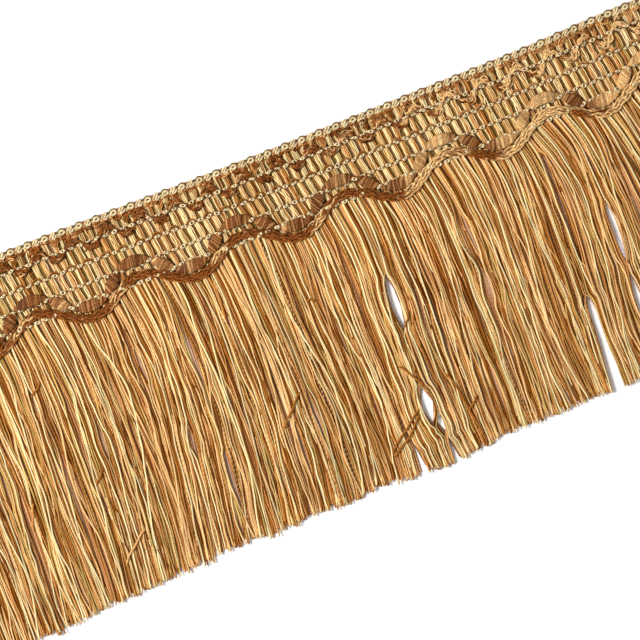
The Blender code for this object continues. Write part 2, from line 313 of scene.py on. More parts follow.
def yarns(name, paths, radius, sides, shade_a, shade_b, material, rng):
    """Joins yarns into one mesh. paths holds yarns x stations x 3; radius is one number, or one
    for each yarn and station. The shades hold yarns x 3, or yarns x stations x 3."""
    count, stations, _ = paths.shape
    radius = np.broadcast_to(radius, (count, stations))
    along = np.gradient(paths, axis=1)
    along /= np.linalg.norm(along, axis=2, keepdims=True)
    side = np.cross(along, (0.0, 0.0, 1.0))
    side /= np.maximum(np.linalg.norm(side, axis=2, keepdims=True), 1e-6)
    top = np.cross(side, along)
    turn = 2 * math.pi * np.arange(sides) / sides
    ring = np.cos(turn)[:, None] * side[:, :, None, :] + np.sin(turn)[:, None] * top[:, :, None, :]
    points = paths[:, :, None, :] + radius[:, :, None, None] * ring

    index = np.arange(count * stations * sides).reshape(count, stations, sides)
    after = np.roll(index, -1, axis=2)
    quads = between(index, after)
    first, last = index[:, 0, :], index[:, -1, ::-1]
    loops = np.concatenate([quads.ravel(), first.ravel(), last.ravel()])
    sizes = np.concatenate([np.full(quads.size // 4, 4), np.full(2 * count, sides)])

    step = np.linalg.norm(np.diff(paths, axis=1), axis=2)
    length = np.concatenate([np.zeros((count, 1)), np.cumsum(step, axis=1)], axis=1)
    phase = rng.uniform(0, 1, (count, 1, 1))
    round_it = np.broadcast_to(np.arange(sides) / sides, index.shape) + phase
    start = rng.uniform(0, 50, (count, 1, 1, 1))
    down = np.broadcast_to(length[:, :, None], index.shape)
    u, v = between(round_it, round_it + 1 / sides), between(down, down)
    cap_u = np.concatenate([round_it[:, 0].ravel(), round_it[:, -1, ::-1].ravel()])
    cap_v = np.concatenate([down[:, 0].ravel(), down[:, -1, ::-1].ravel()])
    uvs = stacked(np.append(u.ravel(), cap_u), np.append((v + start).ravel(), cap_v))

    longest = length[:, -1].max()
    left, low, width, height = strips(count, longest, 2 * math.pi * radius.mean())
    unrolled = STRIP_MARGIN + (1 - 2 * STRIP_MARGIN) * (u - phase[..., None])
    bake_u = left[:, None, None, None] + width * unrolled
    bake_v = low[:, None, None, None] + height * (SIDES_START + SIDES_SHARE * v / longest)
    cap_step = np.broadcast_to(turn, (count, sides))
    cap_at = left[:, None] + width * (0.5 + 0.3 * np.cos(cap_step))
    cap_lift = height * 0.004 * np.sin(cap_step)
    caps_u = np.concatenate([cap_at.ravel(), cap_at[:, ::-1].ravel()])
    caps_v = np.concatenate([(low[:, None] + height * at + cap_lift).ravel() for at in CAPS_AT])
    bake = stacked(np.append(bake_u.ravel(), caps_u), np.append(bake_v.ravel(), caps_v))

    def spread(shade):
        shade = np.asarray(shade, float)
        if shade.ndim == 2:
            shade = shade[:, None, :]
        return np.broadcast_to(shade[:, :, None, :], (count, stations, sides, 3)).reshape(-1, 3)

    return make_mesh(
        name, points.reshape(-1, 3), loops, sizes, uvs, bake, spread(shade_a), spread(shade_b), material
    )


class Nodes:
    """A material's node tree, with one call for each kind of node that the yarns need."""

    def __init__(self, name):
        self.material = bpy.data.materials.new(name)
        self.material.use_nodes = True
        self.tree = self.material.node_tree
        self.shader = self.tree.nodes["Principled BSDF"]

    def add(self, kind, **settings):
        node = self.tree.nodes.new(kind)
        for key, value in settings.items():
            setattr(node, key, value)
        return node

    def link(self, source, target):
        self.tree.links.new(source, target)

    def feed(self, sockets, values):
        """Sets each socket to a number, or links it to another node's output."""
        for socket, value in zip(sockets, values):
            if isinstance(value, (int, float)):
                socket.default_value = value
            else:
                self.link(value, socket)

    def math(self, operation, *values):
        node = self.add("ShaderNodeMath", operation=operation)
        self.feed(node.inputs, values)
        return node.outputs[0]

    def mix(self, factor, first, second, mode="MIX"):
        node = self.add("ShaderNodeMix", data_type="RGBA", blend_type=mode)
        self.feed((node.inputs[0], node.inputs[6], node.inputs[7]), (factor, first, second))
        return node.outputs[2]

    def noise(self, across, across_scale, along, along_scale, detail):
        """Flat noise over two values, each multiplied by its scale."""
        place = self.add("ShaderNodeCombineXYZ")
        self.link(self.math("MULTIPLY", across, across_scale), place.inputs[0])
        self.link(self.math("MULTIPLY", along, along_scale), place.inputs[1])
        noise = self.add("ShaderNodeTexNoise", noise_dimensions="2D")
        noise.inputs["Scale"].default_value = 1.0
        noise.inputs["Detail"].default_value = detail
        self.link(place.outputs[0], noise.inputs["Vector"])
        return noise.outputs[0]


# How finely filaments and loose fibres change once round a yarn, and in a millimetre along it
FILAMENTS_ROUND, FILAMENTS_ALONG = 26.0, 0.55
FIBRES_ROUND, FIBRES_ALONG = 5.0, 2.6
PLY_ROUNDNESS = 0.6
BUMP_STRENGTH, BUMP_HEIGHT = 0.6, 0.12
SHEEN_TINT = (1.0, 0.86, 0.62, 1.0)


def yarn_material(name, twist, plies, groove_shade, filament, mottle, roughness, shine, sheen):
    """Plied yarn: its plies wind round it once in each twist millimetres, with painted shade in
    the groove between them, fine filaments run along each ply, and loose fibres mottle it."""
    nodes = Nodes(name)
    place = nodes.add("ShaderNodeUVMap", uv_map="yarn")
    split = nodes.add("ShaderNodeSeparateXYZ")
    nodes.link(place.outputs[0], split.inputs[0])
    round_it, along = split.outputs[0], split.outputs[1]
    wound = nodes.math("MULTIPLY_ADD", along, 1 / twist, round_it)
    wave = nodes.math("SINE", nodes.math("MULTIPLY", wound, math.pi * plies))
    crown = nodes.math("POWER", nodes.math("ABSOLUTE", wave), PLY_ROUNDNESS)
    back_wound = nodes.math("MULTIPLY_ADD", along, -0.6 / twist, round_it)
    strands = nodes.noise(back_wound, FILAMENTS_ROUND, along, FILAMENTS_ALONG, 3.0)
    fibres = nodes.noise(round_it, FIBRES_ROUND, along, FIBRES_ALONG, 2.0)

    shade_a = nodes.add("ShaderNodeAttribute", attribute_name="shade_a")
    shade_b = nodes.add("ShaderNodeAttribute", attribute_name="shade_b")
    which = nodes.math("SINE", nodes.math("MULTIPLY", wound, 2 * math.pi))
    clamp = nodes.add("ShaderNodeClamp")
    nodes.link(nodes.math("MULTIPLY_ADD", which, 1.5, 0.5), clamp.inputs[0])
    colour = nodes.mix(clamp.outputs[0], shade_a.outputs[0], shade_b.outputs[0])
    tone = nodes.math("MULTIPLY_ADD", strands, 2 * filament, 1 - filament)
    # Painted shade: the colour darkens into the groove between the plies
    depth = nodes.math("MULTIPLY_ADD", crown, groove_shade, 1 - groove_shade)
    loose = nodes.math("MULTIPLY_ADD", fibres, 4 * mottle, 1 - 2 * mottle)
    shade = nodes.math("MULTIPLY", nodes.math("MULTIPLY", tone, depth), loose)
    grey = nodes.add("ShaderNodeCombineColor")
    for socket in grey.inputs:
        nodes.link(shade, socket)
    nodes.link(nodes.mix(1.0, colour, grey.outputs[0], "MULTIPLY"), nodes.shader.inputs["Base Color"])

    ply_height = nodes.math("MULTIPLY", crown, 0.6)
    fibre_height = nodes.math("MULTIPLY_ADD", fibres, 4 * mottle, ply_height)
    height = nodes.math("MULTIPLY_ADD", strands, 0.35, fibre_height)
    bump = nodes.add("ShaderNodeBump")
    bump.inputs["Strength"].default_value = BUMP_STRENGTH
    bump.inputs["Distance"].default_value = BUMP_HEIGHT * MM
    nodes.link(height, bump.inputs["Height"])
    nodes.link(bump.outputs[0], nodes.shader.inputs["Normal"])
    nodes.shader.inputs["Roughness"].default_value = roughness
    nodes.shader.inputs["Specular IOR Level"].default_value = shine
    nodes.shader.inputs["Sheen Weight"].default_value = sheen
    nodes.shader.inputs["Sheen Roughness"].default_value = 0.35
    nodes.shader.inputs["Sheen Tint"].default_value = SHEEN_TINT
    return nodes.material


def pick(rng, count, names, weights, spread=0.06, bundle=0):
    """count yarn colours from the named ones, each a little lighter or darker than its name. Where
    a bundle size is given, the yarns of each bundle are as unlike each other as they can be."""
    weights = np.array(weights, float)
    if bundle:
        order = rng.permuted(np.tile(np.arange(bundle), (count // bundle, 1)), axis=1).ravel()
        ranks = (order + rng.uniform(0, 1, count)) / bundle
        chosen = np.searchsorted(np.cumsum(weights / weights.sum()), ranks).clip(0, len(names) - 1)
    else:
        chosen = rng.choice(len(names), count, p=weights / weights.sum())
    colours = np.array([LINEAR[name] for name in names])[chosen]
    return colours * rng.normal(1.0, spread, (count, 1)).clip(0.8, 1.2)


def plied(rng, colours, second_share, names, weights):
    """The second ply of each yarn: the same as the first, or, for some yarns, another colour."""
    others = pick(rng, len(colours), names, weights)
    differs = rng.uniform(0, 1, (len(colours), 1)) < second_share
    return np.where(differs, (others + colours) / 2, colours * 0.96)


def finish_piece(obj, slot, *nodes):
    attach(obj, "root")
    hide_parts(*nodes)
    return obj


def part_skirt(x, y, lowest):
    """Pushes yarns away from the middle line of each parting, to the side that most of each is on.
    The lowest yarns part only where the floor shows."""
    for top_x, top_y, bottom_x, bottom_y, wide, tips_open, through in PARTINGS:
        if lowest and not through:
            continue
        share = (top_y - y) / (top_y - bottom_y)
        middle = top_x + (bottom_x - top_x) * np.clip(share, -0.2, 1.2)
        if tips_open:
            half = wide * (0.6 * smooth(share, 0.0, 0.1) + 0.4 * smooth(share, 0.3, 1.0))
        else:
            half = wide * np.sqrt(np.sin(math.pi * np.clip(share, 0, 1)).clip(0, 1))
        here = (share > -0.3) & ((share < 1.3) | tips_open)
        at = np.argmin(np.abs(share - 0.5), axis=1)
        row = np.arange(len(x))
        sign = np.where(x[row, at] > middle[row, at], 1.0, -1.0)[:, None]
        away = sign * (x - middle)
        near = np.exp(-np.abs(away) / PARTING_REACH)
        fade = smooth(share, -0.3, 0.0) * (1.0 if tips_open else 1 - smooth(share, 1.0, 1.3))
        kept = np.maximum(away, half + 0.1 * np.abs(away))
        pushed = np.where(half > 0.02, np.maximum(kept, away + half * near), away)
        x = np.where(here, middle + sign * (away + (pushed - away) * fade), x)
    return x


# How near a parting's middle line its lowest yarns lie open
UNDER_PARTING_WIDTH = 0.8


def under_parting(x, y):
    """1 where the skirt's lowest yarns lie open under a parting that doesn't go through, else 0.
    There they are painted with the floor's grey in shadow.
    """
    under = np.zeros_like(x)
    for top_x, top_y, bottom_x, bottom_y, _, _, through in PARTINGS:
        if not through:
            share = (top_y - y) / (top_y - bottom_y)
            away = x - (top_x + (bottom_x - top_x) * share)
            inside = smooth(share, -0.05, 0.15) * (1 - smooth(share, 0.85, 1.05))
            under = np.maximum(under, inside * np.exp(-((away / UNDER_PARTING_WIDTH) ** 2)))
    return under


def drift(root_x, shares):
    """How far a yarn has moved along X at each share of the drop, by where its root is."""
    powers = np.stack([DRIFT_SHARES[1:] ** n for n in (1, 2, 3)], axis=1)
    fitted = np.linalg.solve(powers, DRIFT[:, 1:].T).T
    at_root = np.stack([on_table(root_x, DRIFT_AT, fitted[:, n]) for n in range(3)], axis=1)
    return at_root @ np.stack([shares**n for n in (1, 2, 3)])


SKIRT_NAMES = ("pale", "straw", "dull", "gold", "orange", "rust", "brown", "shaded")
# The skirt's layers, from the lowest. The lower layers' colours lean darker, some of their yarns take the
# 'shaded' colour, and their roots are darker (root_shade): painted shade under the layers above and under
# the heading
LAYERS = (
    {"name": "fringe_yarns_low", "yarns": 7, "z": 0.56, "radius": 0.335, "stations": 15, "locked": 0.05,
     "uneven": 0.12, "sway": 0.10, "kinks": 0.02, "kind": "matt", "root_shade": 0.6, "shorter": 1.3,
     "weights": (0, 0.5, 1.0, 1.8, 3.2, 4.2, 2.4, 1.2)},
    {"name": "fringe_yarns_mid", "yarns": 5, "z": 1.03, "radius": 0.325, "stations": 32, "locked": 0.75,
     "uneven": 0.3, "sway": 0.55, "kinks": 0.14, "kind": "matt", "root_shade": 0.85, "shorter": 0.5,
     "weights": (0.6, 1.8, 2, 2.5, 4, 4.6, 2.2, 0.2)},
    {"name": "fringe_yarns_top", "yarns": 5, "z": 1.53, "radius": 0.275, "stations": 45, "locked": 1.0,
     "uneven": 0.3, "sway": 0.68, "kinks": 0.17, "kind": "matt", "root_shade": 1.0, "shorter": 0.0,
     "weights": (1.7, 4.2, 2.5, 2.8, 3.5, 3.8, 1.7, 0)},
    {"name": "fringe_yarns_pale", "yarns": 1, "z": 1.80, "radius": 0.30, "stations": 60, "locked": 0.8,
     "uneven": 0.3, "sway": 1.05, "kinks": 0.18, "kind": "silky", "root_shade": 1.0, "shorter": 0.0,
     "weights": (8, 4, 0, 0.5, 0, 0, 0, 0)},
)
# Of a lock's width, the share that its yarns draw together, and how much of that the tips lose
LOCK_SHRINK = 0.15
TIPS_LOOSER = 0.45
# How much narrower a column's yarns stand at their roots, and how far they step along X below them
ROOT_PINCH = 0.36
ROOT_STEP = 0.8
# The share of yarns that are cut short and by how much, and how uneven the others' tips are
SHORT_SHARE, SHORTER_BY = 0.05, (2, 7)
TIPS_UNEVEN = 0.5
# How much lighter the skirt is than its colours at the roots, how much of that is lost on the way
# to the tips, and how light the cut tips are
ROOTS_LIGHT, FADE_DOWN, TIPS_LIGHT = 1.085, 0.16, 0.3


def gather_locks(rng):
    """Groups of one to three columns whose yarns cling together: for each column, its group's
    middle, extra length, height, sway along its length, tone, and how closely it clings."""
    sizes = []
    while sum(sizes) < COLUMNS:
        sizes.append(int(rng.choice((1, 2, 3), p=(0.45, 0.38, 0.17))))
    sizes[-1] -= sum(sizes) - COLUMNS
    sizes = [size for size in sizes if size > 0]
    group = np.repeat(np.arange(len(sizes)), sizes)
    starts = np.concatenate([[0], np.cumsum(sizes)[:-1]])
    middle = -HALF_LENGTH + (starts + np.array(sizes) / 2) * PITCH
    return {
        "middle": middle[group],
        "longer": rng.normal(0, 0.55, len(sizes))[group],
        "higher": rng.uniform(-0.14, 0.2, len(sizes))[group],
        "sway": rng.normal(0, 0.38, (len(sizes), 3))[group],
        "tone": rng.normal(1.0, 0.02, len(sizes))[group],
        "shrink": (LOCK_SHRINK * rng.uniform(0.5, 1.4, len(sizes)))[group],
    }


def build_skirt(materials):
    rng = np.random.default_rng(5)
    locks = gather_locks(rng)
    pieces = []
    for layer in LAYERS:
        shares = np.linspace(0, 1, layer["stations"])
        count = COLUMNS * layer["yarns"]
        column = np.repeat(np.arange(COLUMNS), layer["yarns"])
        place = np.tile(np.arange(layer["yarns"]), COLUMNS) + 0.5
        in_column = (place + rng.uniform(-1, 1, count) * layer["uneven"]) / layer["yarns"] - 0.5
        centre = column_x(column)
        root_x = centre + in_column * PITCH + slant(ROOT_DEPTH)
        colours = pick(rng, count, SKIRT_NAMES, layer["weights"], 0.13, layer["yarns"])

        pinch = 1 - layer["locked"] * ROOT_PINCH * (1 - smooth(shares, 0.0, 0.15))
        spread = centre[:, None] + slant(ROOT_DEPTH) + (in_column * PITCH)[:, None] * pinch
        lock_middle = locks["middle"][column][:, None]
        hold = smooth(shares, 0.04, 0.3) * (1 - TIPS_LOOSER * smooth(shares, 0.6, 1.0))
        shrink = locks["shrink"][column][:, None] * layer["locked"] * hold
        x = lock_middle + (spread - lock_middle) * (1 - shrink) + drift(root_x, shares)
        x += ROOT_STEP * smooth(shares, 0.0, 0.16)
        for n in range(3):
            bend = np.sin((n + 1) * math.pi * shares * 0.9) * smooth(shares, 0, 0.3)
            x += layer["locked"] * locks["sway"][column, n][:, None] / (0.6 + 0.6 * n) * bend
        loose = smooth(shares, 0.0, 0.3)
        kinks = layer["kinks"]
        for cycles, size in (((0.4, 1.1), layer["sway"]), ((2.0, 4.5), kinks), ((4.0, 6.0), 0.4 * kinks)):
            x += wander(rng, count, shares, cycles, size) * loose

        top = y_at(root_x, np.full(count, ROOT_DEPTH))
        short = np.where(rng.uniform(0, 1, count) < SHORT_SHARE, rng.uniform(*SHORTER_BY, count), 0)
        uneven = rng.normal(0, TIPS_UNEVEN, count).clip(-1.2, 1.2) + locks["longer"][column] - short
        cut = on_table(root_x, CUT_AT, CUT_DEPTH) + uneven - layer["shorter"]
        y = top[:, None] + (TOP_Y - cut - top)[:, None] * shares
        x = part_skirt(x, y, layer is LAYERS[0])

        z = layer["z"] + locks["higher"][column][:, None] * layer["locked"] * smooth(shares, 0.05, 0.3)
        z = z * (0.78 + 0.22 * smooth(shares, 0.0, 0.04) - 0.15 * smooth(shares, 0.4, 1.0))
        z = z + wander(rng, count, shares, (1.0, 3.0), 0.06) * smooth(shares, 0, 0.05)
        radius = layer["radius"] * rng.uniform(0.85, 1.1, (count, 1))
        z = np.maximum(z, radius + 0.02)
        paths = stacked(x, y, z)
        # Painted shade: the lower layers darken towards their roots
        at_root = layer["root_shade"] + (1 - layer["root_shade"]) * smooth(shares, 0.0, 0.12)
        tone = at_root * (ROOTS_LIGHT - FADE_DOWN * shares + wander(rng, count, shares, (2.0, 5.0), 0.10))
        tone = tone * locks["tone"][column][:, None]
        tone = (tone * (1 + TIPS_LIGHT * smooth(shares, 0.95, 1.0)))[:, :, None]
        second = plied(rng, colours, 0.15, SKIRT_NAMES, layer["weights"])
        shade, other = (in_range(kind[:, None, :] * tone) for kind in (colours, second))
        if layer["kind"] == "matt":
            patches = np.sin(x / 3.1 + y / 11 + 1) * np.sin(x / 7.3 - y / 17 + 2)
            rusty = (0.5 * smooth(patches, 0.25, 0.85))[:, :, None]
            shade, other = (blend(kind, LINEAR["rust"] * tone, rusty) for kind in (shade, other))
        # Painted shade: the lowest yarns are mixed a fifth of the way towards the floor's grey in shadow,
        # and all the way where they lie open under a parting
        if layer is LAYERS[0]:
            shadow_haze = (0.2 + 0.8 * under_parting(x, y))[:, :, None]
            shade, other = (blend(kind, LINEAR["shaded"], shadow_haze) for kind in (shade, other))
        obj = yarns(layer["name"], paths, radius, 4, shade, other, materials[layer["kind"]], rng)
        pieces.append(finish_piece(obj, "fringe_yarn", "fringe_skirt"))
    return pieces


# The strays' height over the floor, and how far their ends dip into the skirt
STRAY_Z, STRAY_DIP = 2.25, 1.1


def build_strays(material):
    rng = np.random.default_rng(8)
    shares = np.linspace(0, 1, 16)
    paths, colours = [], []
    for start, end, bow, colour in STRAYS:
        start, end = np.array(start), np.array(end)
        across = np.array([-(end - start)[1], (end - start)[0]]) / np.linalg.norm(end - start)
        bent = bow * np.sin(math.pi * shares) + 0.25 * np.sin(9 * shares)
        line = start + (end - start) * shares[:, None] + across * bent[:, None]
        height = STRAY_Z - STRAY_DIP * (smooth(shares, 0.12, 0.0) + smooth(shares, 0.88, 1.0))
        paths.append(np.column_stack([line, height]))
        colours.append(LINEAR[colour])
    colours = np.array(colours)
    obj = yarns("stray_yarns", np.array(paths), 0.33, 6, colours, colours * 1.2, material, rng)
    return finish_piece(obj, "fringe_yarn", "fringe_skirt")


# The floats: where their rows begin and end, how many lie in a column, their radius and spacing,
# the stations in a row, and their height in the middle of a row and at a chain row
ROW_STARTS = np.concatenate([[SELVEDGE_DEPTH], CHAIN_DEPTHS])
FLOATS = 4
FLOAT_RADIUS = 0.255
FLOAT_PITCH = 0.55
ROW_STATIONS = 6
MID_ROW_Z = 1.55
AT_CHAIN_Z = 0.98
# The share of columns that are paler than the rest
LIGHT_COLUMNS = 0.30


def row_place(depth):
    """How far down its row a depth lies, from 0 at one chain to 1 at the next, and which row."""
    row = np.clip(np.searchsorted(ROW_STARTS, depth, side="right") - 1, 0, len(ROW_STARTS) - 2)
    return (depth - ROW_STARTS[row]) / (ROW_STARTS[row + 1] - ROW_STARTS[row]), row


def arch(share):
    """0 at the chain rows and 1 in the middle of a row, rising quickly from the chains."""
    return np.sin(math.pi * np.clip(share, 0, 1)).clip(0, 1) ** 0.55


# How far the columns lean along X in each row, from its top to its bottom
LEANS = np.array([0.0, 0.1, 0.42, 0.38])


def lean_at(x, row, share):
    """The columns of the lower rows lean to one side, more in some places than in others."""
    amount = 0.75 + 0.45 * np.sin(x / 23.0 + 1.2) + 0.2 * np.sin(x / 9.0)
    return LEANS[row] * amount * (share - 0.5)


def build_floats(material):
    """The bundles of floats, pinched and pressed down where the chain rows tie them."""
    rng = np.random.default_rng(21)
    depth = np.concatenate([
        np.linspace(start, end, ROW_STATIONS, endpoint=False)
        for start, end in zip(ROW_STARTS, ROW_STARTS[1:])
    ] + [[CHAIN_DEPTHS[-1], CHAIN_DEPTHS[-1] + 0.6]])
    share, row = row_place(depth)
    full = arch(np.where(depth >= CHAIN_DEPTHS[-1], 0.0, share))
    count = COLUMNS * FLOATS
    centre = column_x(np.repeat(np.arange(COLUMNS), FLOATS))
    place = np.tile(np.arange(FLOATS) - (FLOATS - 1) / 2, COLUMNS)
    puffed = np.repeat(rng.normal(1.0, 0.5, (COLUMNS, ROWS)), FLOATS, axis=0)[:, row]
    width = 0.80 + (0.13 * full) * puffed
    jitter = wander(rng, count, depth / 10, (0.8, 2.2), 0.10)
    x = centre[:, None] + (place * FLOAT_PITCH)[:, None] * width + jitter
    x = x + lean_at(centre[:, None], row, np.where(depth >= CHAIN_DEPTHS[-1], 1.0, share))
    bend = np.repeat(rng.normal(0, 0.08, (COLUMNS, ROWS)), FLOATS, axis=0)[:, row]
    x = x + bend * full + slant(depth)
    crown = -0.22 * (np.abs(place) > 1)
    z = AT_CHAIN_Z + (MID_ROW_Z - AT_CHAIN_Z) * full + crown[:, None] * (0.3 + 0.7 * full)
    z = z + wander(rng, count, depth / 10, (0.8, 2.2), 0.05)
    y = y_at(x, np.broadcast_to(depth, x.shape))
    names = ("pale", "straw", "dull", "gold", "orange", "rust")
    # Painted highlight: the outermost float on the -X side of each column, towards the lamp, is mostly pale
    left = pick(rng, count, names, (9, 2, 1, 1.0, 0.5, 0.1))
    rest = pick(rng, count, names, (3.5, 2.5, 2.5, 3, 3.5, 2.2), 0.12)
    light = pick(rng, count, names, (7, 3, 2, 1, 0.2, 0.0))
    light_column = np.repeat(rng.uniform(0, 1, COLUMNS) < LIGHT_COLUMNS, FLOATS)[:, None]
    colours = np.where(light_column, light, np.where((place < -1)[:, None], left, rest))
    second = plied(rng, colours, 0.3, names, (2, 3, 3, 4, 3, 1))
    tone = 1 + wander(rng, count, depth / 24, (1.0, 3.0), 0.08)
    # Painted shade: dimmer where the chain rows press the floats down; the top row is dimmer too
    tone = tone * (0.86 + 0.14 * full) * (1 - 0.14 * smooth(depth, 7.5, 5.5))
    tone = (tone * (1.04 + 0.10 * smooth(centre, *LIGHTENS)[:, None]))[:, :, None]
    shade, other = (in_range(kind[:, None, :] * tone) for kind in (colours, second))
    paths = stacked(x, y, z)
    obj = yarns("heading_floats", paths, FLOAT_RADIUS, 5, shade, other, material, rng)
    return finish_piece(obj, "gold_floats", "heading_band")


# The ground over one column: places across it, and the heights of its top and its back there
GROUND_OFFSETS = np.array([-1.47, -0.85, 0.0, 0.85, 1.47])
GROUND_TOP = np.array([0.92, 0.70, 0.85, 0.70, 0.92])
GROUND_BACK = np.array([0.20, 0.05, 0.01, 0.05, 0.20])
# Where it begins and ends, below the selvedge's top
GROUND_TOP_DEPTH = 2.6
GROUND_BOTTOM_DEPTH = 26.2


def build_ground(material):
    """The thin ground of the heading: ridged under each column and pressed flat under each chain row.
    Where it shows between the columns its colour is painted shade: dark rust or olive, some of it the
    floor's grey in shadow."""
    rng = np.random.default_rng(23)
    depths = np.linspace(GROUND_TOP_DEPTH, GROUND_BOTTOM_DEPTH, 34)
    away = np.min(np.abs(depths[:, None] - CHAIN_DEPTHS), axis=1)
    pressed = np.exp(-((away / 0.7) ** 2))[:, None]
    offsets = np.tile(GROUND_OFFSETS, COLUMNS)
    centre = column_x(np.repeat(np.arange(COLUMNS), len(GROUND_OFFSETS)))
    x = centre + offsets + slant(depths)[:, None]
    y = y_at(x, np.broadcast_to(depths[:, None], x.shape))
    top_z = np.tile(GROUND_TOP, COLUMNS) * (1 - 0.3 * pressed)
    back_z = np.tile(GROUND_BACK, COLUMNS) + 0.1 * pressed
    points = np.concatenate([stacked(x, y, z).reshape(-1, 3) for z in (top_z, back_z)])
    index = np.arange(x.size).reshape(x.shape)
    under = index + x.size
    top = stacked(index[:-1, :-1], index[1:, :-1], index[1:, 1:], index[:-1, 1:])
    back = stacked(under[:-1, :-1], under[:-1, 1:], under[1:, 1:], under[1:, :-1])
    rim = []
    for edge, low in ((index[0], under[0]), (index[::-1, 0], under[::-1, 0]),
                      (index[:, -1], under[:, -1]), (index[-1, ::-1], under[-1, ::-1])):
        rim.append(stacked(edge[:-1], edge[1:], low[1:], low[:-1]))
    loops = np.concatenate([part.reshape(-1, 4) for part in (top, back, *rim)]).ravel()
    flat = points[loops][:, :2]
    low = flat.min(axis=0)
    bake = (flat - low) / (flat - low).max() * 0.48 + 0.01
    corner = np.arange(len(loops))
    bake[(corner >= top.size) & (corner < top.size + back.size), 1] += 0.2
    bake[corner >= top.size + back.size, 1] += 0.4
    in_gap = np.abs(offsets) > 1
    gap = np.arange(COLUMNS).repeat(len(GROUND_OFFSETS)) + (offsets > 0)
    row = np.searchsorted(CHAIN_DEPTHS, depths).clip(0, ROWS - 1)
    # Painted shade in the gaps: rust or olive at random, some mixed with the floor's grey in shadow
    greener = rng.uniform(0, 1, (ROWS, COLUMNS + 1))[row][:, gap, None]
    greyer = rng.uniform(0, 1, (ROWS, COLUMNS + 1))[row][:, gap, None] ** 6
    dark = blend(LINEAR["rust"], LINEAR["olive"], greener)
    dark = dark * rng.uniform(0.65, 1.15, (ROWS, COLUMNS + 1))[row][:, gap, None]
    dark = blend(dark, LINEAR["shaded"] * 0.5, greyer)
    shade = np.where(in_gap[None, :, None], dark, LINEAR["gold"] * 0.7)
    # Painted shade: darker under each chain row
    shade = shade * (1 - 0.5 * pressed[:, :, None])
    shade = np.concatenate([np.broadcast_to(shade, (*x.shape, 3)).reshape(-1, 3)] * 2)
    obj = make_mesh(
        "heading_ground", points, loops, np.full(len(loops) // 4, 4), flat, bake, shade, shade * 0.6,
        material,
    )
    return finish_piece(obj, "gold_floats", "heading_band")


# The pieces that pass under the chain rows, how far they lift a row, and how near it in depth
WAVES_UNDER_CHAINS = (CRINKLE, INNER_BRAID, OUTER_BRAID)
LIFT_OVER_BRAID = 1.1
LIFT_WIDTH = 1.15
# How far the inner braid pushes each chain row down under its crests and up over its troughs
PUSHED_DOWN = (0.0, 0.0, 0.5, 0.25)
PUSHED_UP = (0.0, 0.0, 0.1, 0.45)
# The chain rows' height, how thick each one's thread is beside the first's, and the ties' height
CHAIN_Z = 1.60
CHAIN_THICKNESS = np.array([[1.0], [1.0], [1.0], [1.25]])
TIE_Z = CHAIN_Z - 0.22


def lift_at(x, chain):
    """How far a chain row climbs where a braid or the crinkled yarn passes under it."""
    lift = np.zeros_like(x)
    for wave in WAVES_UNDER_CHAINS:
        lift = np.maximum(lift, np.exp(-(((wave_depth(wave, x) - chain) / LIFT_WIDTH) ** 2)))
    return lift * LIFT_OVER_BRAID


def chain_y(x, row):
    """The y of a chain row: the inner braid pushes it down under its crests and up over its troughs."""
    crest = np.cos(2 * math.pi * (x - INNER_BRAID["crest"]) / INNER_BRAID["wave"])
    push = np.where(crest > 0, PUSHED_DOWN[row] * crest**2, -PUSHED_UP[row] * crest**2)
    return y_at(x, CHAIN_DEPTHS[row] + push)


def smooth_path(points, per_step):
    """A curve through the points, bending evenly, with per_step stations to each step."""
    before = np.concatenate([2 * points[:1] - points[1:2], points[:-1]])
    after = np.concatenate([points[1:], 2 * points[-1:] - points[-2:-1]])
    slope = (after - before) / 2
    t = np.arange(per_step)[None, :, None] / per_step
    start, end = points[:-1, None], points[1:, None]
    leave, arrive = slope[:-1, None], slope[1:, None]
    curve = (
        (2 * t**3 - 3 * t**2 + 1) * start + (t**3 - 2 * t**2 + t) * leave
        + (3 * t**2 - 2 * t**3) * end + (t**3 - t**2) * arrive
    )
    return np.concatenate([curve.reshape(-1, 3), points[-1:]])


# A ring of the chain: half its width and height, its stations, and its turn from start to end
RING_WIDTH, RING_HEIGHT = 0.60, 0.42
RING_STEPS = 14
RING_TURN = np.linspace(math.pi, -2 * math.pi, RING_STEPS)


def chain_row(rng, row):
    """Thread that rings one and a half times over each gap between columns, and dips between."""
    count = COLUMNS - 1
    centre = -HALF_LENGTH + PITCH * np.arange(1, COLUMNS) + rng.normal(0, 0.12, count)
    centre = centre + slant(CHAIN_DEPTHS[row])
    size = rng.normal(1.0, 0.12, (count, 1)).clip(0.75, 1.3)
    tilt = rng.normal(0, 0.35, (count, 1))
    wide = RING_WIDTH * size * np.cos(RING_TURN)
    tall = RING_HEIGHT * size * np.sin(RING_TURN) * rng.uniform(0.7, 1.25, (count, 1))
    x = centre[:, None] + wide * np.cos(tilt) - tall * np.sin(tilt)
    up = wide * np.sin(tilt) + tall * np.cos(tilt) + rng.normal(0, 0.08, (count, 1))
    z = CHAIN_Z + np.linspace(0.12, -0.16, RING_STEPS) + 0.12 * np.abs(np.cos(RING_TURN))
    dip = centre[:, None] + PITCH / 2
    x = np.concatenate([x, dip], axis=1)
    up = np.concatenate([up, rng.normal(0, 0.06, (count, 1))], axis=1)
    low = np.full((count, 1), CHAIN_Z - 0.42)
    z = np.concatenate([np.broadcast_to(z, (count, RING_STEPS)), low], axis=1)
    x, up, z = x.ravel(), up.ravel(), z.ravel()
    return stacked(x, chain_y(x, row) + up, z + lift_at(x, CHAIN_DEPTHS[row]))


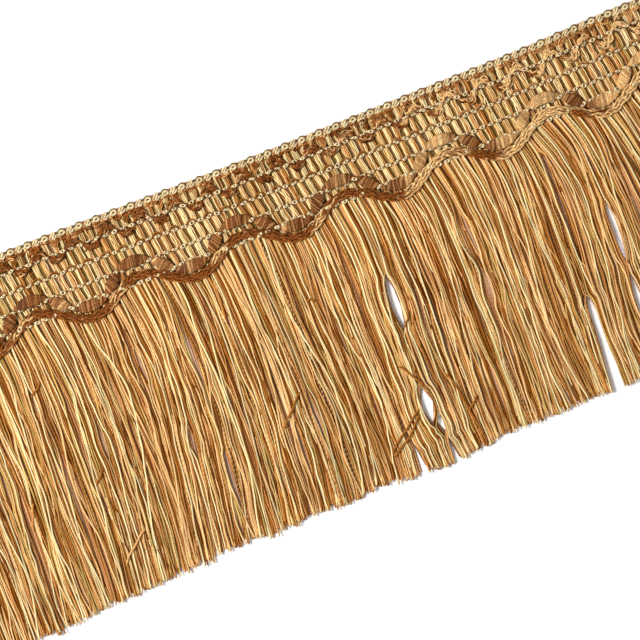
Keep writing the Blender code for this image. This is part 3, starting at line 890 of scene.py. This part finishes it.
def build_chains(material, dark_material):
    rng = np.random.default_rng(33)
    rows = range(ROWS)
    paths = np.array([chain_row(rng, row) for row in rows])
    thick = np.append(0.18 + 0.21 * np.cos(RING_TURN) ** 2, 0.18)
    thick = np.tile(thick, COLUMNS - 1) * CHAIN_THICKNESS
    # Painted highlight and shade: each ring's thread is palest at its two sides, darker gold at its top and
    # bottom, and darkest in the dip between rings
    light = np.tile(np.append(0.2 + 0.95 * np.abs(np.cos(RING_TURN)), 0.0), COLUMNS - 1)
    light = (light * rng.uniform(0.85, 1.15, (len(paths), len(light))))[:, :, None]
    shade = blend(LINEAR["gold"] * 0.6, LINEAR["cream"], light.clip(0, 1))
    rings = yarns("chain_rows", paths, thick, 5, shade, shade * 0.9, material, rng)
    finish_piece(rings, "pale_chain_yarn", "heading_band")

    x = along_trim(COLUMNS * 2, CLIP_INSET)
    ties = []
    for row in rows:
        y = chain_y(x, row) + 0.06 * np.sin(x * 2.3 + row)
        ties.append(stacked(x, y, TIE_Z + lift_at(x, CHAIN_DEPTHS[row])))
    dark = np.broadcast_to(LINEAR["russet"] * 0.6, (len(ties), 3))
    tie = yarns("chain_ties", np.array(ties), 0.27, 5, dark, dark * 0.8, dark_material, rng)
    finish_piece(tie, "rust_crinkle", "heading_band")
    return rings, tie


# The beads: the depth and height of their middles, and the thread's radius in rings and in folds
BEAD_DEPTH = 1.55
BEAD_Z = 1.45
BEAD_THREADS = np.array([0.45, 0.36])
# The depths and the height of the two yarns that the beads are knotted on
CORE_DEPTHS = (BEAD_DEPTH - 0.45, BEAD_DEPTH + 0.55)
CORE_Z = 0.62


def ring_bead():
    """Thread round a small eye, once and two thirds, coming in low on one side and out on the other."""
    turn = np.radians(np.linspace(210, -390, 15))
    wider = np.linspace(0.92, 1.06, len(turn))
    high = np.linspace(0.18, -0.25, len(turn))
    return stacked(0.86 * wider * np.cos(turn), 0.06 + 0.66 * wider * np.sin(turn), high)


def slanted_bead():
    """Thread folded into three slanting runs, side by side."""
    steep = math.radians(48)
    run = np.array([math.cos(steep), math.sin(steep)])
    side = np.array([run[1], -run[0]]) * 0.80
    places = (
        -side - 0.5 * run, -side + 0.5 * run, -0.35 * side + 1.02 * run, 0.05 * side + 0.75 * run,
        -0.05 * side - 0.75 * run, 0.35 * side - 1.02 * run, side - 0.5 * run, side + 0.5 * run,
    )
    heights = (-0.1, 0.1, 0.05, 0.2, 0.2, 0.05, 0.1, -0.1)
    corners = np.array([(*place, height) for place, height in zip(places, heights)])
    return smooth_path(corners, 2)


def build_selvedge(material):
    """Beads of pale thread, one to a column: rings and slanted folds by turns."""
    rng = np.random.default_rng(34)
    kinds = (ring_bead(), slanted_bead())
    parts, thickness = [], []
    for column in range(COLUMNS):
        bead = kinds[column % 2] * rng.normal(1.0, 0.04, 3)
        centre = column_x(column)
        x = centre + bead[:, 0] + rng.normal(0, 0.06)
        y = y_at(x, np.full(len(x), BEAD_DEPTH)) + bead[:, 1]
        parts.append(stacked(x, y, BEAD_Z + bead[:, 2]))
        thickness.append(np.full(len(x), BEAD_THREADS[column % 2]))
        if column < COLUMNS - 1:
            between = centre + PITCH / 2
            low = (between, y_at(np.array([between]), np.array([BEAD_DEPTH + 0.2]))[0], 0.85)
            parts.append(np.array([low]))
            thickness.append(BEAD_THREADS[1:])
    row = np.concatenate(parts)
    row[:, 0] = within_trim(row[:, 0])
    thickness = np.concatenate(thickness)[None]
    light = rng.uniform(0.45, 1.2, len(row)).clip(0, 1)[None, :, None]
    shade = blend(LINEAR["gold"] * 0.5, LINEAR["cream"], light)
    beads = yarns("selvedge_loops", row[None], thickness, 6, shade, shade * 0.85, material, rng)
    finish_piece(beads, "pale_chain_yarn", "selvedge_beads")

    x = along_trim(COLUMNS * 3)
    cores = []
    for depth in CORE_DEPTHS:
        y = y_at(x, np.full(len(x), depth)) + 0.1 * np.sin(x * 2)
        cores.append(stacked(x, y, np.full(len(x), CORE_Z)))
    dark = np.broadcast_to(LINEAR["brown"] * 0.7, (2, 3))
    core = yarns("selvedge_core", np.array(cores), 0.45, 6, dark, dark * 0.8, material, rng)
    finish_piece(core, "pale_chain_yarn", "selvedge_beads")
    return beads, core


# Depths of the two strands of the rust yarn just under the beads
UPPER_YARN_DEPTHS = np.array([2.85, 3.4])


def build_arches(material):
    """Brown yarn that arches over each bead, higher over the rings, and more of it under the beads."""
    rng = np.random.default_rng(35)
    x = along_trim(COLUMNS * 10)
    column = (x + HALF_LENGTH) / PITCH
    over = np.abs(np.sin(math.pi * column)) ** 0.8
    ring = 0.5 + 0.5 * np.cos(math.pi * (column - 0.5))
    depth = 1.25 - (0.62 + 0.32 * ring) * over
    arches = stacked(x, y_at(x, depth), 1.2 + 0.2 * over)
    mixed = (0.5 + 0.5 * np.sin(math.pi * column + 1.0))[None, :, None]
    shade = blend(LINEAR["rust"], LINEAR["olive"] * 0.8, mixed)
    top = yarns("selvedge_arches", arches[None], 0.29, 6, shade, shade * 0.7, material, rng)
    finish_piece(top, "rust_crinkle", "selvedge_beads")

    x = x[::2]
    home = UPPER_YARN_DEPTHS[:, None]
    strands = len(home)
    wave = 0.28 * np.cos(math.pi * (x + HALF_LENGTH) / PITCH + np.array([0.3, 1.2])[:, None])
    depth = (home + wave + wander(rng, strands, x / 10, (0.8, 1.6), 0.22)).clip(2.75, 4.4)
    height = (1.42 + wander(rng, strands, x / 10, (1.2, 2.4), 0.2)).clip(1.0, 1.9)
    paths = stacked(np.broadcast_to(x, depth.shape), y_at(x, depth), height)
    golden = (variegated(x, rng) * rng.uniform(0.1, 0.8, (strands, 1)))[:, :, None].clip(0, 1)
    tone = 1 + wander(rng, strands, x / 10, (1.0, 3.0), 0.2)[:, :, None]
    shade = blend(LINEAR["russet"], LINEAR["gold"], golden) * tone.clip(0.5, 1.6)
    low = yarns("upper_rust_yarn", paths, 0.27, 5, shade, shade * 0.75, material, rng)
    finish_piece(low, "rust_crinkle", "heading_band")
    return top, low


# Tangles of crinkled yarn: depth of the middle, half the width, half the height and number of curls
CREST_TANGLE = {"depth": 4.95, "wide": 2.3, "high": 1.55, "curls": 13}
TROUGH_TANGLE = {"depth": 8.9, "wide": 2.5, "high": 0.8, "curls": 8}
TANGLE_UNDER_BEAD = {"depth": 3.35, "wide": 1.1, "high": 0.5, "curls": 3}
# The share of columns with curls under the bead, and with a pair of loops hanging from it; the
# depth that the loops hang from, and the odds of their colours
CURL_SHARE = 0.6
LOOP_SHARE = 0.3
LOOP_TOP = 2.9
LOOP_COLOURS = {"brown": 0.25, "rust": 0.3, "gold": 0.25, "orange": 0.2}


def curl(rng, centre_x, tangle):
    """A short bent piece of yarn, somewhere in a tangle: x, depth and height along it."""
    angle, far = rng.uniform(0, 2 * math.pi), math.sqrt(rng.uniform(0, 1))
    middle_x = centre_x + tangle["wide"] * far * math.cos(angle)
    middle_depth = tangle["depth"] + tangle["high"] * far * math.sin(angle)
    size, squash = rng.uniform(0.35, 0.9), rng.uniform(0.45, 0.8)
    turn = rng.uniform(0, 2 * math.pi) + np.linspace(-1, 1, 10) * rng.uniform(1.2, 2.6)
    along, across = size * np.cos(turn) * 1.5, size * squash * np.sin(turn)
    lean = rng.normal(0, 0.5)
    x = middle_x + along * math.cos(lean) - across * math.sin(lean)
    depth = middle_depth + along * math.sin(lean) + across * math.cos(lean)
    height = rng.uniform(1.75, 2.35) - 0.35 * np.linspace(-1, 1, 10) ** 2
    return np.stack([within_trim(x), depth.clip(2.8, 10.4), height])


def build_tangles(material):
    """Where the crinkled yarn turns it bunches into curls; some of them hang from the beads."""
    rng = np.random.default_rng(37)
    waves = math.ceil(HALF_LENGTH / CRINKLE["wave"])
    curls = []
    for wave in range(-waves, waves + 1):
        for tangle, turn in ((CREST_TANGLE, 0.0), (TROUGH_TANGLE, 0.5)):
            centre = CRINKLE["crest"] + (wave + turn) * CRINKLE["wave"]
            if abs(centre) < HALF_LENGTH - 1.5:
                number = round(tangle["curls"] * (1 - 0.75 * smooth(centre, *CURLS_THIN_OUT)))
                curls += [curl(rng, centre, tangle) for _ in range(number)]
    for column in np.flatnonzero(rng.uniform(0, 1, COLUMNS - 2) < CURL_SHARE) + 1:
        centre = -HALF_LENGTH + (column + rng.choice((0.0, 0.5))) * PITCH
        curls += [curl(rng, centre, TANGLE_UNDER_BEAD) for _ in range(TANGLE_UNDER_BEAD["curls"])]
    curls = np.array(curls)
    paths = stacked(curls[:, 0], y_at(curls[:, 0], curls[:, 1]), curls[:, 2])
    golden = 0.35 * variegated(curls[:, 0].mean(axis=1), rng, patchy=0.1)[:, None]
    golden = np.maximum(golden, rng.uniform(0, 1, golden.shape) > 0.8)
    shade = blend(LINEAR["russet"], LINEAR["gold"], golden)
    shade = in_range(shade * rng.uniform(0.4, 1.6, (len(curls), 1)))
    bunched = yarns("crinkled_curls", paths, 0.24, 4, shade, shade * 0.8, material, rng)
    finish_piece(bunched, "rust_crinkle", "crinkled_yarn")

    swing = np.linspace(-1, 1, 11)
    loops, shades = [], []
    for column in np.flatnonzero(rng.uniform(0, 1, COLUMNS) < LOOP_SHARE):
        centre = column_x(column) + rng.normal(0, 0.25)
        low, wide = rng.uniform(5.2, 6.5), rng.uniform(0.75, 1.1)
        name = rng.choice(list(LOOP_COLOURS), p=list(LOOP_COLOURS.values()))
        for inner in range(2):
            x = centre + (wide - 0.48 * inner) * np.sin(swing * math.pi / 2)
            depth = LOOP_TOP + (low - 0.55 * inner - LOOP_TOP) * (1 - np.abs(swing) ** 2.2)
            height = 1.4 + (0.42 + 0.1 * inner) * (1 - swing**2) + rng.normal(0, 0.04, len(swing))
            loops.append(stacked(within_trim(x), y_at(x, depth), height))
            shades.append(LINEAR[name] * rng.uniform(0.9, 1.3))
    shades = in_range(np.array(shades))
    hanging = yarns("upper_loops", np.array(loops), 0.22, 5, shades, shades * 0.8, material, rng)
    finish_piece(hanging, "rust_crinkle", "heading_band")
    return bunched, hanging


def across_wave(x, wave):
    """Unit vectors along +X and +Y that point across the wave's middle line."""
    slope = np.gradient(y_at(x, wave_depth(wave, x)), x)
    size = np.hypot(1.0, slope)
    return -slope / size, 1.0 / size


# How near a chain row, in depth, its tie squeezes what it crosses
SQUEEZE_WIDTH = 0.9


def squeeze_at(x, wave, chains, tight):
    """1 where the piece lies free, down to tight where one of the chain rows ties it."""
    depth = wave_depth(wave, x)
    near = np.max([np.exp(-(((depth - chain) / SQUEEZE_WIDTH) ** 2)) for chain in chains], axis=0)
    return 1 - (1 - tight) * near


def lighter_ahead(x, wave, left, right):
    """Added to how golden a wavy piece is: least just past a crest and most as it rises to one,
    by left at the -X end and by right at the +X end."""
    size = left + (right - left) * smooth(x, *CRESTS_TURN_GOLD)
    return size * np.cos(2 * math.pi * ((x - wave["crest"]) / wave["wave"] - 0.8))


def strand_paths(x, wave, offsets, heights, base_z, squeeze, dip):
    """Strands that follow a wave, each with its own offset across it and height over base_z."""
    across_x, across_y = across_wave(x, wave)
    middle = y_at(x, wave_depth(wave, x))
    offsets = offsets * squeeze
    z = base_z + heights * squeeze - dip * (1 - squeeze)
    return stacked(x + offsets * across_x, middle + offsets * across_y, z)


WAVY_STATIONS = 850
CRINKLE_STRANDS = 11
CRINKLE_Z = 2.2


def build_crinkle(material):
    """Strands that wander about the wave, two of every five brighter and higher than the rest;
    the dimmer ones, lower between them, are partly painted shade.
    """
    rng = np.random.default_rng(41)
    strands = CRINKLE_STRANDS
    x = along_trim(WAVY_STATIONS)
    to_right = smooth(x, *LIGHTENS)
    at_peak = np.abs(wave_depth(CRINKLE, x) - CRINKLE["depth"]) / CRINKLE["swing"]
    offsets = wander(rng, strands, x / 10, (0.5, 1.3), 0.42)
    offsets = offsets + wander(rng, strands, x / 10, (2.2, 4.0), 0.24)
    offsets = (offsets + rng.uniform(-0.75, 0.75, (strands, 1))) * (0.45 + 0.85 * at_peak)
    bright = (np.arange(strands) % 5 < 2)[:, None]
    heights = wander(rng, strands, x / 10, (1.5, 3.0), 0.22) + 0.12 * bright
    heights = heights - 0.35 * (1 - bright) * to_right
    squeeze = squeeze_at(x, CRINKLE, CHAIN_DEPTHS[:1], 0.6)
    dip = 2.1 - 0.9 * to_right
    offsets, heights = offsets.clip(-1.7, 1.7), heights.clip(-0.6, 0.5)
    paths = strand_paths(x, CRINKLE, offsets, heights, CRINKLE_Z, squeeze, dip)
    golden = variegated(x, rng) + lighter_ahead(x, CRINKLE, 0.0, 0.45)
    golden = golden + wander(rng, strands, x / 10, (0.3, 1.2), 0.28)
    golden = smooth(golden, 0.15, 0.7)[:, :, None]
    gilt = LINEAR["straw"] * 0.9 + LINEAR["pale"] * 0.15 + LINEAR["amber"] * 0.2
    shade = blend(LINEAR["russet"] * 0.9, gilt, golden)
    # Partly painted shade: the strands that are not bright lie lower and are dimmer
    tone = (rng.uniform(0.4, 0.7, (strands, 1)) + 0.62 * bright + 0.12 * to_right
            + wander(rng, strands, x / 10, (1.0, 3.0), 0.18))
    shade = in_range(shade * tone[:, :, None])
    obj = yarns("crinkled_strands", paths, 0.27, 4, shade, shade * 0.75, material, rng)
    return finish_piece(obj, "rust_crinkle", "crinkled_yarn")


def build_fine_wave(material):
    """Two strands side by side, over the floats at their crests and under them at their troughs."""
    rng = np.random.default_rng(43)
    x = along_trim(COLUMNS * 7)
    swing = np.cos(2 * math.pi * (x - FINE_WAVE["crest"]) / FINE_WAVE["wave"])
    y = y_at(x, wave_depth(FINE_WAVE, x))
    z = 1.35 + 0.5 * swing.clip(-1, 0.6)
    paths = np.stack([stacked(x, y + 0.17 * k, z + 0.1 * k) for k in (-1, 1)])
    golden = variegated(x, rng)[None, :, None]
    shade = blend(LINEAR["rust"], LINEAR["gold"], golden)
    # Painted shade: darker towards the troughs, where the strands pass under the floats
    shade = np.repeat(shade * (0.75 + 0.25 * swing)[None, :, None], 2, axis=0)
    obj = yarns("fine_rust_yarn", paths, 0.24, 5, shade, shade * 0.8, material, rng)
    return finish_piece(obj, "rust_crinkle", "heading_band")


# The wound tape between two crests: where chain rows tie it (its place along the trim from a crest,
# and its depth), and how far it swells up and down from the line between two ties
TAPE_TIES = ((-5.8, 19.75), (5.9, 19.9), (12.2, 25.3), (24.8, 25.3))
TAPE_SWELLS = ((3.0, 0.05), (1.45, 1.45), (0.05, 3.1), (1.45, 1.45))
# Half the tape's width at a tie, its stations from tie to tie, the sides of its section, its height,
# the length of one turn of its winding, and the scale of the winding's fine lines
TAPE_NECK = 0.42
TAPE_STEPS = 62
TAPE_SIDES = 14
TAPE_Z = 2.62
TURN_PITCH = 1.15
THREAD_SCALE = 0.3
# Strips that the tape is folded into for its bake
BAKE_FOLDS = 24


def tape_stations():
    """Along the whole tape: x and depth of its middle, the half width's lean and size, and its fullness."""
    share = (np.arange(TAPE_STEPS) + 0.5) / TAPE_STEPS
    full = np.sin(math.pi * share) ** 0.62
    waves = math.ceil(HALF_LENGTH / INNER_BRAID["wave"]) + 1
    ties = [*TAPE_TIES, (TAPE_TIES[0][0] + INNER_BRAID["wave"], TAPE_TIES[0][1])]
    parts = []
    for wave in range(-waves, waves):
        start = INNER_BRAID["crest"] + wave * INNER_BRAID["wave"]
        for (from_x, from_depth), (to_x, to_depth), (up, down) in zip(ties, ties[1:], TAPE_SWELLS):
            lean = math.atan2(to_depth - from_depth, to_x - from_x) if up == down else 0.0
            shift = (up - down) / 2 * full
            x = start + from_x + (to_x - from_x) * share + shift * math.sin(lean)
            depth = from_depth + (to_depth - from_depth) * share - shift * math.cos(lean)
            half = TAPE_NECK + (up + down) / 2 * full
            parts.append(stacked(x, depth, np.full(TAPE_STEPS, lean), half, full))
    rows = np.concatenate(parts)
    blur = np.ones(9) / 9
    rows[:, 2] = np.convolve(np.pad(rows[:, 2], 4, mode="edge"), blur, mode="valid")
    return rows[np.abs(rows[:, 0]) < HALF_LENGTH - 0.6].T


def build_inner_braid(material):
    """A flat tape wound with satin thread in slanting turns, gathered where chain rows tie it."""
    rng = np.random.default_rng(47)
    x, depth, lean, half, full = tape_stations()
    middle = y_at(x, depth)
    length = np.concatenate([[0], np.cumsum(np.hypot(np.diff(x), np.diff(middle)))])
    sides = TAPE_SIDES
    turn = 2 * math.pi * np.arange(sides) / sides
    flat_cos = np.sign(np.cos(turn)) * np.abs(np.cos(turn)) ** 0.8
    across_x, across_y = np.sin(lean)[:, None], np.cos(lean)[:, None]
    uneven = wander(rng, 1, length / 10, (1.0, 2.5), 0.22)[0]
    wound = length[:, None] / TURN_PITCH + uneven[:, None] - 0.35 * np.cos(turn)
    from_edge = np.abs(wound - np.round(wound)) * 2
    ridge = smooth(from_edge, 0.0, 0.45)
    edge_wave = 1 + 0.10 * (ridge - 0.5) + wander(rng, 1, length / 10, (2.0, 5.0), 0.03)[0][:, None]
    half_width = half[:, None] * edge_wave
    half_height = (0.18 + 0.30 * full[:, None]) * (0.72 + 0.28 * ridge)
    off = half_width * flat_cos
    z = TAPE_Z - 0.75 * (1 - full[:, None]) + half_height * np.sin(turn)
    points = stacked(x[:, None] + off * across_x, middle[:, None] + off * across_y, z)

    def corners(here, beside):
        return stacked(here[:-1], beside[:-1], beside[1:], here[1:])

    index = np.arange(len(x) * sides).reshape(len(x), sides)
    after = np.roll(index, -1, axis=1)
    quads = corners(index, after)
    loops = np.concatenate([quads.ravel(), index[0, ::-1], index[-1]])
    sizes = np.concatenate([np.full(quads.size // 4, 4), [sides, sides]])
    step = np.broadcast_to(np.arange(sides) / sides, index.shape)
    far = np.broadcast_to(length[:, None], index.shape)
    along = corners(wound, np.roll(wound, -1, axis=1)).ravel()
    u, v = corners(step, step + 1 / sides).ravel(), corners(far, far).ravel()
    caps = np.zeros(2 * sides)
    uvs = stacked(np.append(along * TURN_PITCH * THREAD_SCALE, caps), np.append(u * 9, caps))
    folds = BAKE_FOLDS
    fold = np.minimum((v / length[-1] * folds).astype(int), folds - 1)
    fold = np.repeat(fold.reshape(-1, 4).min(axis=1), 4)
    bake_v = (v / length[-1] * folds - fold).clip(0, 1.02) * 0.94 + 0.03
    bake_u = (fold + 0.06 + 0.88 * u) / folds
    cap_bake = 0.004 + 0.003 * stacked(np.cos(turn), np.sin(turn))
    bake = np.concatenate([stacked(bake_u, bake_v), cap_bake, cap_bake + 0.008])
    of_turn = np.round(wound).astype(int)
    of_turn -= of_turn.min()
    tone, lightness = (rng.uniform(0, 1, of_turn.max() + 1)[of_turn] for _ in range(2))
    golden = variegated(x, rng) + lighter_ahead(x, INNER_BRAID, -0.15, 0.6)
    golden = smooth(golden[:, None] + 0.4 * (tone - 0.5), 0.15, 0.95)[:, :, None]
    base = blend(LINEAR["russet"] * 0.58, LINEAR["gold"] * 0.93, golden)
    # Each turn is lighter along its edges, by more in some turns than in others, and darker across its
    # middle; the light edges are partly paler threads and partly a painted highlight of the satin
    light = blend(LINEAR["gold"], LINEAR["pale"], golden)
    share = (smooth(from_edge, 0.42, 0.0) * (0.15 + 0.85 * lightness))[:, :, None]
    shade = blend(base, light, share)
    shade = shade * (0.78 + 0.6 * tone - 0.4 * smooth(from_edge, 0.7, 1.0))[:, :, None]
    shade = in_range(shade).reshape(-1, 3)
    points = points.reshape(-1, 3)
    obj = make_mesh("inner_braid_ribbed", points, loops, sizes, uvs, bake, shade, shade * 0.9, material)
    return finish_piece(obj, "ribbed_braid", "inner_braid")


# The length of one plait, how far its bundles swing, the number of bundles and of strands in each,
# how light each strand is, the strands' radius and height, and the share of bright specks on them
PLAIT_LENGTH = 13.0
PLAIT_REACH = 0.80
PLAIT_BUNDLES = 3
# The middle strand of each bundle lies lower, is dimmer and more rust: partly its own colour, partly
# painted shade between the other two
STRAND_TONES = (1.5, 0.8, 1.25)
PLAIT_STRANDS = len(STRAND_TONES)
PLAIT_YARN = 0.32
PLAIT_Z = 2.65
SPECKS = 0.006


def build_outer_braid(material):
    """Three flat bundles of strands, loosely plaited, their colour changing along them."""
    rng = np.random.default_rng(53)
    x = along_trim(WAVY_STATIONS)
    middle = y_at(x, wave_depth(OUTER_BRAID, x))
    length = np.concatenate([[0], np.cumsum(np.hypot(np.diff(x), np.diff(middle)))])
    offsets, heights, golds, tones = [], [], [], []
    for bundle in range(PLAIT_BUNDLES):
        turn = 2 * math.pi * (length / PLAIT_LENGTH + bundle / PLAIT_BUNDLES)
        for strand in range(PLAIT_STRANDS):
            inside = 0.60 * (strand - (PLAIT_STRANDS - 1) / 2)
            offsets.append(PLAIT_REACH * np.sin(turn) + inside * (0.7 + 0.3 * np.abs(np.cos(turn))))
            heights.append(0.34 * np.sin(2 * turn) - 0.2 * (strand % 2))
            patch = np.sin(x / rng.uniform(1.2, 3.0) + rng.uniform(0, 6.28))
            golds.append(0.2 * patch + rng.uniform(-0.15, 0.15))
            tones.append(STRAND_TONES[strand] * rng.uniform(0.85, 1.15))
    count = len(offsets)
    offsets = np.array(offsets) + wander(rng, count, x / 10, (0.6, 2.4), 0.15)
    squeeze = squeeze_at(x, OUTER_BRAID, CHAIN_DEPTHS[3:], 0.85)
    paths = strand_paths(x, OUTER_BRAID, offsets, np.array(heights), PLAIT_Z, squeeze, 1.6)
    golden = variegated(x, rng, 0.10) + lighter_ahead(x, OUTER_BRAID, 0.24, 0.55)
    past_crest = 2 * math.pi * (x - OUTER_BRAID["crest"]) / OUTER_BRAID["wave"]
    golden = golden - 0.16 * np.cos(2 * past_crest) * smooth(x, 60, 0)
    golden = smooth(golden[None, :] + np.array(golds), 0.2, 0.72)[:, :, None]
    golden[1::PLAIT_STRANDS] *= 0.4
    gilt = LINEAR["straw"] * 0.85 + LINEAR["pale"] * 0.1 + LINEAR["amber"] * 0.25
    shade = blend(LINEAR["russet"] * 0.72, gilt, golden)
    tone = np.array(tones)[:, None] + wander(rng, count, x / 10, (1.5, 4.0), 0.18)
    shade = in_range(shade * tone[:, :, None])
    shade[rng.uniform(0, 1, golden.shape[:2]) < SPECKS] = LINEAR["straw"]
    radius = PLAIT_YARN * (1 + wander(rng, count, x / 10, (2.0, 4.0), 0.07))
    obj = yarns("outer_braid_strands", paths, radius, 5, shade, shade * 0.7, material, rng)
    return finish_piece(obj, "plaited_braid", "outer_braid")


FLOOR_HALF = 3.0


def build_floor():
    """A pale floor, measured in metres."""
    nodes = Nodes("floor_white")
    nodes.shader.inputs["Base Color"].default_value = (0.93, 0.93, 0.93, 1)
    nodes.shader.inputs["Roughness"].default_value = 0.9
    nodes.shader.inputs["Specular IOR Level"].default_value = 0.1
    mesh = bpy.data.meshes.new("floor")
    corners = [(FLOOR_HALF * x, FLOOR_HALF * y, 0) for x, y in ((-1, -1), (1, -1), (1, 1), (-1, 1))]
    mesh.from_pydata(corners, [], [(0, 1, 2, 3)])
    mesh.materials.append(nodes.material)
    floor = link_object("floor", mesh)
    return floor


# The photograph: its width and its middle on the trim, how far it is rolled, the camera's height over
# the floor, and its sensor's width
PHOTO_WIDTH = 211.2
PHOTO_MIDDLE = (0.1, 2.2)
PHOTO_ROLL = math.radians(21.8)
CAMERA_HEIGHT = 1400.0
SENSOR = 36.0


def build_camera():
    data = bpy.data.cameras.new("camera")
    data.sensor_width = SENSOR
    data.lens = SENSOR * CAMERA_HEIGHT / PHOTO_WIDTH
    data.clip_end = 20
    camera = link_object("camera", data)
    camera.location = (PHOTO_MIDDLE[0] * MM, PHOTO_MIDDLE[1] * MM, CAMERA_HEIGHT * MM)
    camera.rotation_euler = (0, 0, -PHOTO_ROLL)
    bpy.context.scene.camera = camera


# The strength of the even white surround; the lamp's power in watts, and its place and width in metres
FILL = 0.42
KEY_POWER = 19.5
KEY_PLACE = (-0.78, 0.26, 0.95)
KEY_WIDTH = 0.45


def build_light():
    world = bpy.data.worlds.new("studio")
    world.use_nodes = True
    background = world.node_tree.nodes["Background"]
    background.inputs["Color"].default_value = (1, 1, 1, 1)
    background.inputs["Strength"].default_value = FILL
    bpy.context.scene.world = world
    lamp = bpy.data.lights.new("key", "AREA")
    lamp.shape = "DISK"
    lamp.size = KEY_WIDTH
    lamp.energy = KEY_POWER
    key = link_object("key", lamp)
    key.location = KEY_PLACE
    key.rotation_euler = (-key.location).to_track_quat("-Z", "Y").to_euler()


# Yarns: the millimetres of one turn, plies, depth of the painted shade in the groove between them,
# contrast of the filaments and of the loose fibres, roughness, specular level and sheen
YARNS = {
    "skirt_yarn": (1.6, 2, 0.18, 0.28, 0.40, 0.6, 0.03, 0.0),
    "silky_yarn": (1.8, 2, 0.12, 0.15, 0.10, 0.4, 0.16, 0.0),
    "float_yarn": (9.0, 2, 0.14, 0.45, 0.22, 0.5, 0.08, 0.0),
    "chain_yarn": (1.3, 2, 0.35, 0.15, 0.06, 0.45, 0.25, 0.02),
    "rust_yarn": (2.0, 2, 0.40, 0.35, 0.26, 0.5, 0.06, 0.0),
    "satin_winding": (40.0, 6, 0.35, 0.40, 0.38, 0.5, 0.08, 0.0),
    "ground_yarn": (2.0, 1, 0.3, 0.3, 0.2, 0.8, 0.02, 0.0),
}


def main():
    bpy.context.scene.view_settings.view_transform = "Standard"
    skirt, silky, floats, chain, rust, satin, ground = (
        yarn_material(name, *settings) for name, settings in YARNS.items()
    )
    pieces = [
        *build_skirt({"matt": skirt, "silky": silky}),
        build_strays(skirt),
        build_floats(floats),
        *build_chains(chain, rust),
        *build_selvedge(chain),
        *build_arches(rust),
        *build_tangles(rust),
        build_crinkle(rust),
        build_fine_wave(rust),
        build_inner_braid(satin),
        build_outer_braid(rust),
    ]
    cloth = build_ground(ground)
    floor = build_floor()
    build_camera()
    build_light()


main()
